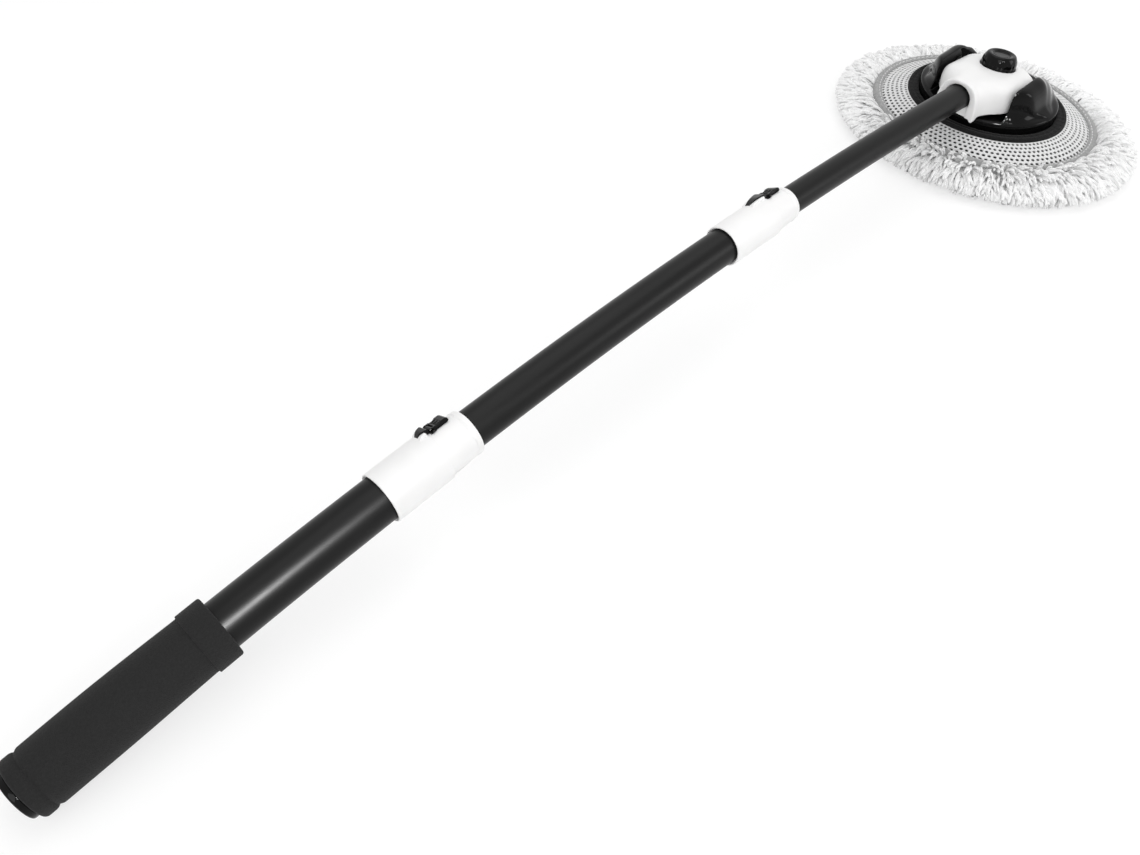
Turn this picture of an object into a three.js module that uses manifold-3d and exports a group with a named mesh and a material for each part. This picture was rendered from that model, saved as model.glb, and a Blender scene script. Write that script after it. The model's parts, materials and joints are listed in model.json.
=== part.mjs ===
// A car wash brush: an oval chenille pad on a tilting head, and a bowed telescoping pole in three tubes.
// Millimetres, +Z up, the pole along X with its grip towards -X. The origin is the centre of the pad's sole.
import * as THREE from "three";
import { mergeVertices } from "three/addons/utils/BufferGeometryUtils.js";
import Module from "manifold-3d";

const wasm = await Module();
wasm.setup();

// Fits
const clearance = 0.3;
const snugGap = 0.3;
const overrun = 2;
const weldDistance = 0.001;

// Facets
const tubeSides = 20;
const collarSides = 24;
const padSides = 36;
const smallSides = 12;
const swingSides = 30;
const bendStep = 46;
const bowRounds = 12;

// Pole: tubes and bow
const bowRadius = 3110;
const frontTubeRadius = 10.15;
const tubeWall = 1;
const roomRoundFrontTube = 1.2;
const roomRoundMiddleTube = 1.05;
const frontTubeShown = 223;
const middleTubeShown = 225;
const outerTubeShown = 107;
const frontTubeInBracket = 34;
const tubeOverlap = 24;
const tubeEndInset = 1;
const tailFlangeLength = 9;
const tailSpigotLength = 12;
const tailSpigotWall = 1.6;

// Grip
const gripLength = 117;
const gripThickness = 3.2;
const gripSwell = 0.8;
const gripBeadThickness = 3.6;
const gripBeadLength = 7;
const gripCollarThickness = 4.4;
const gripCollarLength = 15;
const gripEdgeRound = 1.6;
const capOverhang = 0.2;
const capThickness = 3.6;
const capRound = 1.1;
const capPlugLength = 12;
const capPlugWall = 2;

// Clamp collars
const upperBodyLength = 46;
const lowerBodyLength = 41;
const upperNoseLength = 22;
const lowerNoseLength = 24;
const collarWall = 1.8;
const collarEdgeRound = 0.8;
const noseStepDown = 1.2;
const noseTaperLength = 16;
const noseMouthWall = 1.9;
const noseRimLength = 4;
const noseRimRise = 0.35;
const noseLipLength = 4.5;
const bushRoom = 1.3;

// Cam levers, one on each collar's nose
const leverTurn = THREE.MathUtils.degToRad(30);
const leverPivotInset = 4;
const leverLobeRadius = 1.9;
const leverLobeWidth = 3.2;
const leverReach = 11.5;
const leverArmWidth = 9.5;
const leverThickness = 2.2;
const leverArmDrop = 0.9;
const leverLipRise = 0.8;
const leverLipLength = 2.8;
const leverGrooveWidth = 1.1;
const leverGrooveDepth = 0.6;
const leverGroovePitch = 2.6;
const leverPinRadius = 0.8;
const hingeLugWidth = 6;
const hingeLugReach = 1.7;
const bossLength = 8;
const bossWidth = 10;
const bossRise = 1.1;
const shoeLength = 8;
const shoeThickness = 0.8;
const shoeWidth = 14;

// Pad, from the sole up to the plate
const padAspectShare = 0.82;
const padSemi = 97;
const padGap = 0.5;
const soleHeight = 9;
const soleEdge = 2.5;
const coreThickness = 5.6;
const bandHeight = 12;
const bandWidth = 7;
const bindingHeight = 5.1;
const bindingWidth = 7.4;
const bindingRound = 1.6;
const plateHeight = 10.7;
const plateRim = 1.1;
const plateWall = 3;
const plateShelf = 5.4;
const plateCoreInset = 12.6;
const plateEdgeGap = 1.6;
const meshThickness = 1.2;
const meshBulge = 0.5;
const hemInnerGap = 0.6;
const hemWidth = 8.4;
const hemHeight = 3.6;
const hemRound = 1.3;

// Chenille fringe in quarters: heights are shares of the backing band's top, roots shares of its height.
const fringeQuarters = 4;
const fringeSemiX = 110;
const fringeSemiY = 131;
const strandsPerQuarter = 25;
const strandRadius = 1.8;
const strandTipShare = 0.7;
const strandRootDepth = 3;
const strandSides = 3;
const fringeRowShares = [
  { root: 0.78, bends: [{ out: 0.3, up: 1.13 }, { out: 1, up: 0.5 }], shift: 0.3 },
  { root: 0.5, bends: [{ out: 0.97, up: 0.32 }], shift: 0.7 },
  { root: 0.2, bends: [{ out: 0.86, up: 0.125 }], shift: 0.3 },
];

// Pivot housing: a raised tier with two ears over a trough that the bracket swings through
const troughFloor = 8;
const swingGap = 0.7;
const tierSemi = 58.6;
const tierRound = 2;
const bracketToTier = 2.5;
const earInner = 34;
const earHeight = 24.5;
const earBaseShare = 0.97;
const saddleWidth = 6;
const saddleDepth = 8.2;
const housingScrewX = 33;
const housingScrewY = 17;
const screwShankRadius = 1.7;
const screwHeadRadius = 3.2;
const screwHeadHeight = 2;
const screwReach = 9;

// Tilt axle and its brake drums
const axleRadius = 3;
const drumRadius = 6.2;
const drumGap = 3.65;
const drumWidth = 5;
const washerRadius = 6;
const washerThickness = 0.7;

// Bracket
const bracketFront = 57;
const bracketRear = 19.5;
const bracketWall = 2.3;
const bracketSidePlay = 1.3;
const neckSide = 6.55;
const neckCrown = 2.85;
const bracketRearTop = 8;
const bracketUnderside = 8;
const bracketHollowStart = 30;
const hubRadius = 6;
const hubLength = 2.6;
const keeperLength = 26;
const keeperSetBack = 1.2;
const keeperDepth = 3.35;
const keeperLift = 0.4;
const keeperScrewInset = 8;

// Push button
const buttonTilt = THREE.MathUtils.degToRad(9.5);
const buttonRadius = 14.2;
const buttonTopRadius = 11.45;
const buttonTop = 21.2;
const buttonTravel = 3.5;
const buttonStopGap = 0.7;
const buttonWall = 2;
const buttonDishDepth = 1.3;
const buttonDishShare = 0.72;
const buttonEdgeRound = 1.6;
const pocketGap = 0.5;
const pocketFloor = 1.4;
const pocketFloorLift = 0.1;
const cupWall = 1.15;
const legGap = 0.5;
const legThickness = 3;
const legWidth = 7;
const barHeight = 3.7;
const barWidth = 8;
const barOverhang = 1.5;
const springInset = 0.9;
const springWireRadius = 0.6;
const springTurns = 4;
const springStepsPerTurn = 10;
const springWireSides = 5;

// Colours, all grey as in the photograph
const satinBlack = { color: 0x1c1c1d, roughness: 0.42, metalness: 0.3 };
const foamBlack = { color: 0x19191a, roughness: 0.95, metalness: 0 };
const glossBlack = { color: 0x101011, roughness: 0.18, metalness: 0 };
const mouldedBlack = { color: 0x171718, roughness: 0.5, metalness: 0 };
const white = { color: 0xf0f0ee, roughness: 0.35, metalness: 0 };
const steel = { color: 0xa8aaad, roughness: 0.35, metalness: 0.9 };
const rubber = { color: 0x2a2a2b, roughness: 0.9, metalness: 0 };
const meshGrey = { color: 0xb9b9b8, roughness: 0.9, metalness: 0 };
const bindingGrey = { color: 0x9c9c9b, roughness: 0.9, metalness: 0 };
const chenille = { color: 0xd4d4d2, roughness: 1, metalness: 0 };
const foam = { color: 0xc9c5ba, roughness: 1, metalness: 0 };

// Solids: a closed geometry becomes a manifold solid facing out, and goes back to a geometry.
function solidOf(geometry) {
  const bare = geometry.index ? geometry.toNonIndexed() : geometry.clone();
  for (const name of Object.keys(bare.attributes)) {
    if (name !== "position") bare.deleteAttribute(name);
  }
  const merged = mergeVertices(bare, weldDistance);
  const corners = [];
  for (let i = 0; i < merged.index.count; i += 3) {
    const [a, b, c] = merged.index.array.slice(i, i + 3);
    if (a !== b && b !== c && c !== a) corners.push(a, b, c);
  }
  const build = (triVerts) =>
    new wasm.Manifold(
      new wasm.Mesh({
        numProp: 3,
        vertProperties: merged.attributes.position.array,
        triVerts: new Uint32Array(triVerts),
      }),
    );
  const made = build(corners);
  return made.volume() < 0 ? build(corners.reverse()) : made;
}

function geometryOf(solid) {
  const m = solid.getMesh();
  const geometry = new THREE.BufferGeometry();
  geometry.setAttribute("position", new THREE.BufferAttribute(m.vertProperties, 3));
  geometry.setIndex(new THREE.BufferAttribute(m.triVerts, 1));
  return geometry;
}

const cut = (body, ...tools) => tools.reduce((left, tool) => left.subtract(tool), body);
const join = (body, ...more) => more.reduce((whole, next) => whole.add(next), body);
const span = (from, to, share) => from + (to - from) * share;

// A solid turned round X, from a profile of [along, radius] points.
function turnedOnX(profile, sides = collarSides) {
  const points = profile.map(([along, radius]) => new THREE.Vector2(radius, along));
  return solidOf(new THREE.LatheGeometry(points, sides).rotateZ(-Math.PI / 2));
}

// A solid turned round Z, from a profile of [radius, height] points, narrowed along X to an oval.
function turnedOnZ(profile, aspect = padAspectShare, sides = padSides) {
  const points = profile.map(([radius, height]) => new THREE.Vector2(radius, height));
  return solidOf(new THREE.LatheGeometry(points, sides).rotateX(Math.PI / 2).scale(aspect, 1, 1));
}

function box(x0, x1, y0, y1, z0, z1) {
  const made = new THREE.BoxGeometry(x1 - x0, y1 - y0, z1 - z0);
  return solidOf(made.translate((x0 + x1) / 2, (y0 + y1) / 2, (z0 + z1) / 2));
}

function rodOnY(radius, y0, y1, x = 0, z = 0, sides = smallSides) {
  const made = new THREE.CylinderGeometry(radius, radius, y1 - y0, sides);
  return solidOf(made.translate(x, (y0 + y1) / 2, z));
}

function rodOnZ(radius, z0, z1, x = 0, y = 0, sides = smallSides) {
  const made = new THREE.CylinderGeometry(radius, radius, z1 - z0, sides).rotateX(Math.PI / 2);
  return solidOf(made.translate(x, y, (z0 + z1) / 2));
}

// A closed skin through rings of points. A ring of three closes with one face, a larger one with a fan.
function loft(rings) {
  const corners = [];
  const push = (...points) => points.forEach((p) => corners.push(p.x, p.y, p.z));
  for (let r = 0; r + 1 < rings.length; r++) {
    rings[r].forEach((p, i) => {
      const j = (i + 1) % rings[r].length;
      push(p, rings[r][j], rings[r + 1][j]);
      push(p, rings[r + 1][j], rings[r + 1][i]);
    });
  }
  for (const ring of [rings[0].toReversed(), rings.at(-1)]) {
    if (ring.length === 3) {
      push(...ring);
    } else {
      const middle = ring.reduce((sum, p) => sum.add(p), new THREE.Vector3()).divideScalar(ring.length);
      ring.forEach((p, i) => push(p, ring[(i + 1) % ring.length], middle));
    }
  }
  const geometry = new THREE.BufferGeometry();
  geometry.setAttribute("position", new THREE.Float32BufferAttribute(corners, 3));
  return solidOf(geometry);
}

// Radii outwards from the front tube: each tube slides in the next, and the grip is drawn over the last.
const middleTubeRadius = frontTubeRadius + roomRoundFrontTube + tubeWall;
const outerTubeRadius = middleTubeRadius + roomRoundMiddleTube + tubeWall;
const gripRadius = outerTubeRadius + gripThickness;
const gripBeadRadius = outerTubeRadius + gripBeadThickness;
const gripCollarRadius = outerTubeRadius + gripCollarThickness;
const capRadius = outerTubeRadius + capOverhang;

// Stations along the pole: 0 at the bracket's front face, growing towards the grip.
const upperNoseEnd = frontTubeShown;
const upperStep = upperNoseEnd + upperNoseLength;
const upperCollarEnd = upperStep + upperBodyLength;
const lowerNoseEnd = upperCollarEnd + middleTubeShown;
const lowerStep = lowerNoseEnd + lowerNoseLength;
const lowerCollarEnd = lowerStep + lowerBodyLength;
const gripStart = lowerCollarEnd + outerTubeShown;
const gripEnd = gripStart + gripLength;
const frontTubeTail = upperStep + tubeOverlap;
const middleTubeTail = lowerStep + tubeOverlap;

// Radii in the pad, as half lengths along Y.
const soleSemi = padSemi - bandWidth - padGap;
const bindingInner = padSemi - bindingWidth;
const plateSemi = bindingInner - plateEdgeGap;
const plateFlatSemi = tierSemi + plateShelf;
const plateCoreSemi = tierSemi - plateCoreInset;
const meshInner = tierSemi + hemInnerGap + hemWidth + clearance;

// Heights, from the sole up to the tilt axle.
const coreBottom = soleHeight + clearance;
const coreTop = coreBottom + coreThickness;
const bandTop = coreTop;
const plateBottom = coreTop + clearance;
const plateTop = plateBottom + plateHeight;
const swingRadius = Math.hypot(buttonTopRadius, buttonTop) + swingGap;
const pivotHeight = plateBottom + troughFloor + swingRadius;
const tierTop = pivotHeight - bracketUnderside - bracketToTier;

// Sizes of the bracket and button that follow from the tube and the axle.
const socketBore = frontTubeRadius + snugGap;
const neckHalfWidth = socketBore + neckSide;
const bracketHalfWidth = earInner - bracketSidePlay;
const bracketFrontTop = 2 * socketBore + neckCrown + keeperDepth + keeperLift - bracketUnderside;
const pocketFloorTop = axleRadius + clearance + pocketFloorLift + pocketFloor;
const buttonSkirt = pocketFloorTop + buttonTravel + buttonStopGap;
const pocketRadius = buttonRadius + pocketGap;
const drumInner = pocketRadius + cupWall + drumGap;
const legOffset = axleRadius + legGap + legThickness / 2;
const axleHalf = earInner + saddleDepth;

// The bow's place: the axle puts the bracket's front face, and the grip's bead rests on the floor.
const socketX = -bracketFront + keeperSetBack;
const socketZ = pivotHeight + bracketFrontTop - neckCrown - socketBore;

function bowAngleAtSocket() {
  const half = gripEnd / bowRadius / 2;
  let angle = half;
  for (let round = 0; round < bowRounds; round++) {
    const gripCentre = gripBeadRadius * Math.cos(angle - 2 * half);
    angle = half - Math.asin((socketZ - gripCentre) / (2 * bowRadius * Math.sin(half)));
  }
  return angle;
}

const socketAngle = bowAngleAtSocket();
const bowCentreX = socketX - bowRadius * Math.sin(socketAngle);
const bowCentreZ = socketZ - bowRadius * Math.cos(socketAngle);

// Bends a geometry made straight along X, with X = -station, onto the bow.
function bowed(geometry) {
  const at = geometry.attributes.position;
  for (let i = 0; i < at.count; i++) {
    const angle = socketAngle + at.getX(i) / bowRadius;
    const reach = bowRadius + at.getZ(i);
    at.setX(i, bowCentreX + reach * Math.sin(angle));
    at.setZ(i, bowCentreZ + reach * Math.cos(angle));
  }
  return geometry;
}

const object = new THREE.Group();

function named(name, geometry, look, parent = object) {
  const flat = geometry.index ? geometry.toNonIndexed() : geometry;
  flat.computeVertexNormals();
  const mesh = new THREE.Mesh(flat, new THREE.MeshStandardMaterial({ ...look, flatShading: true }));
  mesh.name = name;
  parent.add(mesh);
}

const onPole = (name, solid, look) => named(name, bowed(geometryOf(solid)), look);

// Tubes
function ringProfile(outer, inner, fromStation, toStation) {
  const steps = Math.max(1, Math.ceil((toStation - fromStation) / bendStep));
  const places = Array.from({ length: steps + 1 }, (_, i) => -span(fromStation, toStation, i / steps));
  const outside = places.map((x) => [x, outer]);
  const inside = places.toReversed().map((x) => [x, inner]);
  return [...outside, ...inside, outside[0]];
}

function tube(radius, fromStation, toStation) {
  return turnedOnX(ringProfile(radius, radius - tubeWall, fromStation, toStation), tubeSides);
}

// The guide on a tube's hidden end: a spigot in the tube and a flange that runs in the larger tube.
function tailBush(tubeRadius, runsInRadius, tail) {
  const spigot = tubeRadius - tubeWall - clearance;
  const flange = runsInRadius - tubeWall - clearance;
  const bore = spigot - tailSpigotWall;
  const seat = -tail - clearance;
  return turnedOnX([
    [-tail + tailSpigotLength, bore],
    [-tail + tailSpigotLength, spigot],
    [seat, spigot],
    [seat, flange],
    [seat - tailFlangeLength, flange],
    [seat - tailFlangeLength, bore],
    [-tail + tailSpigotLength, bore],
  ], tubeSides);
}

// Grip
function gripFoam() {
  const bore = outerTubeRadius + snugGap;
  const top = -gripStart;
  const low = -gripEnd;
  const collarLow = top - gripCollarLength;
  const middle = span(collarLow, low, 1 / 2);
  return turnedOnX([
    [top, bore],
    [top, gripCollarRadius - gripEdgeRound],
    [top - gripEdgeRound, gripCollarRadius],
    [collarLow + gripEdgeRound / 2, gripCollarRadius],
    [collarLow, gripCollarRadius - gripEdgeRound / 2],
    [collarLow, gripRadius],
    [middle, gripRadius + gripSwell],
    [low + gripBeadLength, gripRadius],
    [low + gripBeadLength / 2, gripBeadRadius],
    [low, gripBeadRadius],
    [low - gripEdgeRound, gripBeadRadius - gripEdgeRound],
    [low - gripEdgeRound, bore],
    [middle, bore],
    [top, bore],
  ]);
}

function endCap() {
  const face = -gripEnd - gripEdgeRound - clearance;
  const back = face - capThickness;
  const plug = outerTubeRadius - tubeWall - clearance;
  return turnedOnX([
    [back, 0],
    [back, capRadius - capRound],
    [back + capRound, capRadius],
    [face, capRadius],
    [face, plug],
    [face + capPlugLength, plug],
    [face + capPlugLength, plug - capPlugWall],
    [face, plug - capPlugWall],
    [face, 0],
  ]);
}

// Collars: everything is made straight, with the lever on top, then turned to the lever's side.
const towardsLeverSide = (solid) => solidOf(geometryOf(solid).rotateX(-leverTurn));

function collarSizes(carrierRadius, slidingRadius, seam, bodyLength, noseLength) {
  const bodyBore = carrierRadius + clearance;
  const bodyOuter = bodyBore + collarWall;
  const shoeInner = slidingRadius + clearance;
  const pinHeight = shoeInner + shoeThickness + clearance + leverLobeRadius;
  return {
    slidingRadius,
    bodyBore,
    bodyOuter,
    shoeInner,
    pinHeight,
    noseOuter: bodyOuter - noseStepDown,
    noseBore: slidingRadius + bushRoom,
    mouthRadius: slidingRadius + noseMouthWall,
    armBottom: pinHeight - leverArmDrop,
    seam: -seam,
    low: -seam - bodyLength,
    mouth: -seam + noseLength,
    pivotX: -seam + leverPivotInset,
    shoeFront: -seam + leverPivotInset + shoeLength / 2,
  };
}

// A box and a rod between two values of Y, given in any order.
function blockAcross(x0, x1, y0, y1, z0, z1) {
  return box(x0, x1, Math.min(y0, y1), Math.max(y0, y1), z0, z1);
}

function rodAcross(radius, y0, y1, x, z, sides) {
  return rodOnY(radius, Math.min(y0, y1), Math.max(y0, y1), x, z, sides);
}

function collarBody(c) {
  const sleeve = turnedOnX([
    [c.seam, c.bodyBore],
    [c.seam, c.bodyOuter - collarEdgeRound / 2],
    [c.seam - collarEdgeRound / 2, c.bodyOuter],
    [c.low + collarEdgeRound, c.bodyOuter],
    [c.low, c.bodyOuter - collarEdgeRound],
    [c.low, c.bodyBore],
    [c.seam, c.bodyBore],
  ]);
  return towardsLeverSide(join(sleeve, boss(c)));
}

// A low rounded boss on the sleeve behind the lever's foot.
function boss(c) {
  const front = c.seam - collarEdgeRound;
  const sink = c.bodyOuter - collarWall / 2;
  const top = c.bodyOuter + bossRise;
  const side = new THREE.Shape();
  side.moveTo(front, sink);
  side.lineTo(front, top - collarEdgeRound);
  side.lineTo(front - collarEdgeRound, top);
  side.quadraticCurveTo(front - bossLength / 2, top, front - bossLength, c.bodyOuter - collarEdgeRound);
  side.lineTo(front - bossLength, sink);
  const made = new THREE.ExtrudeGeometry(side, { depth: bossWidth, bevelEnabled: false, curveSegments: 4 });
  return solidOf(made.rotateX(Math.PI / 2).translate(0, bossWidth / 2, 0));
}

function noseForm(c) {
  const start = c.seam + clearance;
  const taper = c.mouth - noseTaperLength;
  const rim = c.mouth - noseRimLength;
  const rimRadius = span(c.noseOuter, c.mouthRadius, 1 - noseRimLength / noseTaperLength);
  const lip = c.slidingRadius + clearance;
  return turnedOnX([
    [start, c.noseBore],
    [start, c.noseOuter],
    [taper, c.noseOuter],
    [rim, rimRadius],
    [rim, rimRadius + noseRimRise],
    [c.mouth - noseRimRise, c.mouthRadius + noseRimRise],
    [c.mouth, c.mouthRadius],
    [c.mouth, lip],
    [c.mouth - noseLipLength, lip],
    [c.mouth - noseLipLength, c.noseBore],
    [start, c.noseBore],
  ]);
}

// The nose carries the lever: a flat land under the arm, a lug for the pin and a slot for each cam.
function collarNose(c) {
  const halfLug = hingeLugWidth / 2;
  const slotEnd = halfLug + leverLobeWidth + 2 * clearance;
  const slotReach = leverLobeRadius + clearance;
  const above = c.pinHeight + leverLobeRadius + overrun;
  const land = box(c.pivotX - slotReach, c.pivotX + leverReach + overrun, -slotEnd, slotEnd,
    c.armBottom - clearance, above);
  const slots = [1, -1].map((side) => blockAcross(c.pivotX - slotReach, c.pivotX + slotReach, side * halfLug,
    side * slotEnd, c.slidingRadius, above));
  const lugFoot = c.noseBore + clearance;
  const lug = join(
    box(c.pivotX - hingeLugReach, c.pivotX + hingeLugReach, -halfLug, halfLug, lugFoot, c.pinHeight),
    rodOnY(hingeLugReach, -halfLug, halfLug, c.pivotX, c.pinHeight),
  );
  const pinHole = rodOnY(leverPinRadius + clearance, -slotEnd, slotEnd, c.pivotX, c.pinHeight);
  return towardsLeverSide(cut(join(cut(noseForm(c), land, ...slots), lug), pinHole));
}

function collarBush(c) {
  const front = c.mouth - noseLipLength - clearance;
  const back = c.shoeFront + clearance;
  return turnedOnX(ringProfile(c.noseBore - clearance, c.shoeInner, -front, -back));
}

function brakeShoe(c) {
  const back = c.shoeFront - shoeLength;
  const ring = turnedOnX(ringProfile(c.shoeInner + shoeThickness, c.shoeInner, -c.shoeFront, -back));
  const keep = box(back, c.shoeFront, -shoeWidth / 2, shoeWidth / 2, 0, c.pinHeight);
  return towardsLeverSide(ring.intersect(keep));
}

function leverPin(c) {
  const half = hingeLugWidth / 2 + leverLobeWidth + clearance;
  return towardsLeverSide(rodOnY(leverPinRadius, -half, half, c.pivotX, c.pinHeight, smallSides / 2));
}

function camLever(c) {
  const inner = hingeLugWidth / 2 + clearance;
  const outer = inner + leverLobeWidth;
  const top = c.armBottom + leverThickness;
  const root = c.pivotX + hingeLugReach + clearance;
  const tip = c.pivotX + leverReach;
  const half = leverArmWidth / 2;
  const forks = [1, -1].map((side) => join(
    rodAcross(leverLobeRadius, side * inner, side * outer, c.pivotX, c.pinHeight),
    blockAcross(c.pivotX, root + leverLobeWidth, side * inner, side * outer, c.armBottom, top),
  ));
  const bridge = box(root, root + leverLobeWidth, -outer, outer, c.armBottom, top);
  const arm = box(root, tip, -half, half, c.armBottom, top);
  const grooves = [1, 0, -1].map((side) => {
    const middle = side * leverGroovePitch;
    return box(root + leverLobeWidth, tip - leverLipLength - clearance, middle - leverGrooveWidth / 2,
      middle + leverGrooveWidth / 2, top - leverGrooveDepth, top + overrun);
  });
  const hole = rodOnY(leverPinRadius + clearance, -outer - overrun, outer + overrun, c.pivotX, c.pinHeight,
    smallSides / 2);
  return towardsLeverSide(cut(join(arm, bridge, ...forks, leverLip(tip, top, half)), ...grooves, hole));
}

// The raised finger edge on a lever's tip.
function leverLip(tip, top, half) {
  const side = new THREE.Shape();
  side.moveTo(tip - leverLipLength, top - leverThickness / 2);
  side.lineTo(tip - leverLipLength, top);
  side.lineTo(tip - leverLipLength / 2, top + leverLipRise);
  side.lineTo(tip, top + leverLipRise / 2);
  side.lineTo(tip, top - leverThickness / 2);
  const made = new THREE.ExtrudeGeometry(side, { depth: 2 * half, bevelEnabled: false });
  return solidOf(made.rotateX(Math.PI / 2).translate(0, half, 0));
}

function addCollar(prefix, sizes) {
  onPole(prefix + "_collar_body", collarBody(sizes), white);
  onPole(prefix + "_collar_nose", collarNose(sizes), white);
  onPole(prefix + "_bush", collarBush(sizes), mouldedBlack);
  onPole(prefix + "_brake_shoe", brakeShoe(sizes), rubber);
  onPole(prefix + "_lever_pin", leverPin(sizes), steel);
  onPole(prefix + "_lever", camLever(sizes), glossBlack);
}

// Pole assembly
onPole("outer_tube", tube(outerTubeRadius, lowerStep + tubeEndInset, gripEnd), satinBlack);
onPole("middle_tube", tube(middleTubeRadius, upperStep + tubeEndInset, middleTubeTail), satinBlack);
onPole("front_tube", tube(frontTubeRadius, -frontTubeInBracket, frontTubeTail), satinBlack);
onPole("middle_tail_bush", tailBush(middleTubeRadius, outerTubeRadius, middleTubeTail), mouldedBlack);
onPole("front_tail_bush", tailBush(frontTubeRadius, middleTubeRadius, frontTubeTail), mouldedBlack);
onPole("grip_foam", gripFoam(), foamBlack);
onPole("end_cap", endCap(), glossBlack);
addCollar("lower",
  collarSizes(outerTubeRadius, middleTubeRadius, lowerStep, lowerBodyLength, lowerNoseLength));
addCollar("upper",
  collarSizes(middleTubeRadius, frontTubeRadius, upperStep, upperBodyLength, upperNoseLength));

// Head: its group's origin is on the tilt axle.
const head = new THREE.Group();
head.position.z = pivotHeight;
object.add(head);

// Pieces of the button stand in a group that leans back with the bracket's top.
const buttonGroup = new THREE.Group();
buttonGroup.rotation.y = buttonTilt;
head.add(buttonGroup);

const leaned = (solid) => solidOf(geometryOf(solid).rotateY(buttonTilt));

// The bracket's outside as stations from its front to its rear: [along, width, top], each a share.
const bracketSectionShares = [
  [0, 0, 1],
  [0.08, 0.03, 0.935],
  [0.157, 0.1, 0.87],
  [0.248, 0.38, 0.79],
  [0.327, 0.76, 0.73],
  [0.392, 0.97, 0.674],
  [0.458, 1, 0.62],
  [0.745, 1, 0.287],
  [0.837, 1, 0.19],
  [0.889, 0.9, 0.13],
  [0.935, 0.66, 0.087],
  [0.974, 0.35, 0.02],
  [1, 0.1, -0.12],
];
const archPoints = 8;
const neckRoundness = 0.72;
const hubRoundness = 0.5;

function bracketSection([alongShare, widthShare, topShare], inset, drop) {
  const x = span(-bracketFront, bracketRear, alongShare);
  const half = span(neckHalfWidth, bracketHalfWidth, widthShare) - inset;
  const top = span(bracketRearTop, bracketFrontTop, topShare) - inset;
  const bottom = -bracketUnderside - drop;
  const power = span(neckRoundness, hubRoundness, Math.min(1, widthShare * 2));
  const ring = [];
  for (let i = 0; i <= archPoints; i++) {
    const angle = (Math.PI * i) / archPoints;
    const across = Math.sign(Math.cos(angle)) * Math.abs(Math.cos(angle)) ** power;
    const up = Math.sin(angle) ** power;
    const y = i === archPoints ? -half : half * across;
    ring.push(new THREE.Vector3(x, y, i % archPoints ? span(bottom, top, up) : bottom));
  }
  return ring;
}

function bracketForm(inset, drop, sections) {
  return loft(sections.map((section) => bracketSection(section, inset, drop)));
}

// A straight solid along the pole near the bracket, bent and set in the head's frame.
const inHeadFrame = (solid) => solidOf(bowed(geometryOf(solid)).translate(0, 0, -pivotHeight));

function bracketHollow() {
  const length = bracketFront + bracketRear;
  const startShare = (bracketFront - bracketHollowStart) / length;
  const endShare = 1 - bracketWall / length;
  const inside = bracketSectionShares.filter(([along]) => along > startShare && along < endShare);
  const first = inside[0];
  const last = inside.at(-1);
  const sections = [[startShare, first[1], first[2]], ...inside, [endShare, last[1] / 2, last[2]]];
  return bracketForm(bracketWall, overrun, sections);
}

// The hole that the front tube fills, between two places along the pole.
function socketHole(from, to) {
  return turnedOnX([[from, 0], [from, socketBore], [to, socketBore], [to, 0]], tubeSides);
}

function bracketShell() {
  const outside = bracketForm(0, 0, bracketSectionShares);
  const bore = inHeadFrame(socketHole(-2 * overrun, frontTubeInBracket + clearance));
  const channel = box(-bracketFront - overrun, -bracketHollowStart + overrun, -socketBore, socketBore,
    -bracketUnderside - overrun, socketZ - pivotHeight - keeperTop + clearance);
  const cupLow = pocketFloorTop - pocketFloor;
  const cupRod = rodOnZ(pocketRadius + cupWall, cupLow, buttonSkirt, 0, 0, collarSides);
  const cup = leaned(cupRod).intersect(outside);
  const pocket = leaned(rodOnZ(pocketRadius, pocketFloorTop, buttonTop, 0, 0, collarSides));
  const legSlots = [1, -1].map((side) => leaned(legBox(side, clearance, -bracketUnderside, buttonTop)));
  const inner = bracketHalfWidth - bracketWall;
  const hubs = [1, -1].map((side) => {
    const start = side * (inner - hubLength);
    const end = side * (inner + bracketWall / 2);
    return rodOnY(hubRadius, Math.min(start, end), Math.max(start, end));
  });
  const axleHole = rodOnY(axleRadius + clearance, -earInner, earInner);
  const hollowed = join(cut(outside, bracketHollow()), cup, ...hubs);
  return cut(hollowed, bore, channel, pocket, ...legSlots, axleHole);
}

// One of the button's two legs, in the button's frame.
function legBox(side, grow, bottom, top) {
  const near = side * (legOffset - legThickness / 2 - grow);
  const far = side * (legOffset + legThickness / 2 + grow);
  const half = legWidth / 2 + grow;
  return box(Math.min(near, far), Math.max(near, far), -half, half, bottom, top);
}

// The keeper closes the channel under the tube, and two screws hold it.
const keeperHalfWidth = socketBore - clearance;
const keeperTop = frontTubeRadius / 2;
const keeperStations = [keeperScrewInset, keeperLength - keeperScrewInset];

function keeper() {
  const bottom = -frontTubeRadius - keeperDepth;
  const block = box(keeperSetBack, keeperLength, -keeperHalfWidth, keeperHalfWidth, bottom, -keeperTop);
  const bore = socketHole(-overrun, keeperLength + overrun);
  const holes = keeperStations.map((x) => rodOnZ(screwShankRadius + clearance, bottom - overrun, 0, x));
  const recesses = keeperStations.map((x) =>
    rodOnZ(screwHeadRadius + clearance, bottom - overrun, bottom + screwHeadHeight + clearance, x));
  return cut(block, bore, ...holes, ...recesses);
}

function keeperScrew(x) {
  const seat = -frontTubeRadius - keeperDepth + screwHeadHeight;
  return join(
    rodOnZ(screwHeadRadius, seat - screwHeadHeight, seat, x),
    rodOnZ(screwShankRadius, seat - screwHeadHeight / 2, -frontTubeRadius - clearance, x, 0, smallSides / 2),
  );
}

named("bracket_shell", geometryOf(bracketShell()), white, head);
onPole("bracket_keeper", keeper(), white);
["keeper_screw_front", "keeper_screw_rear"].forEach((name, i) => {
  onPole(name, keeperScrew(keeperStations[i]), steel);
});

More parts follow.
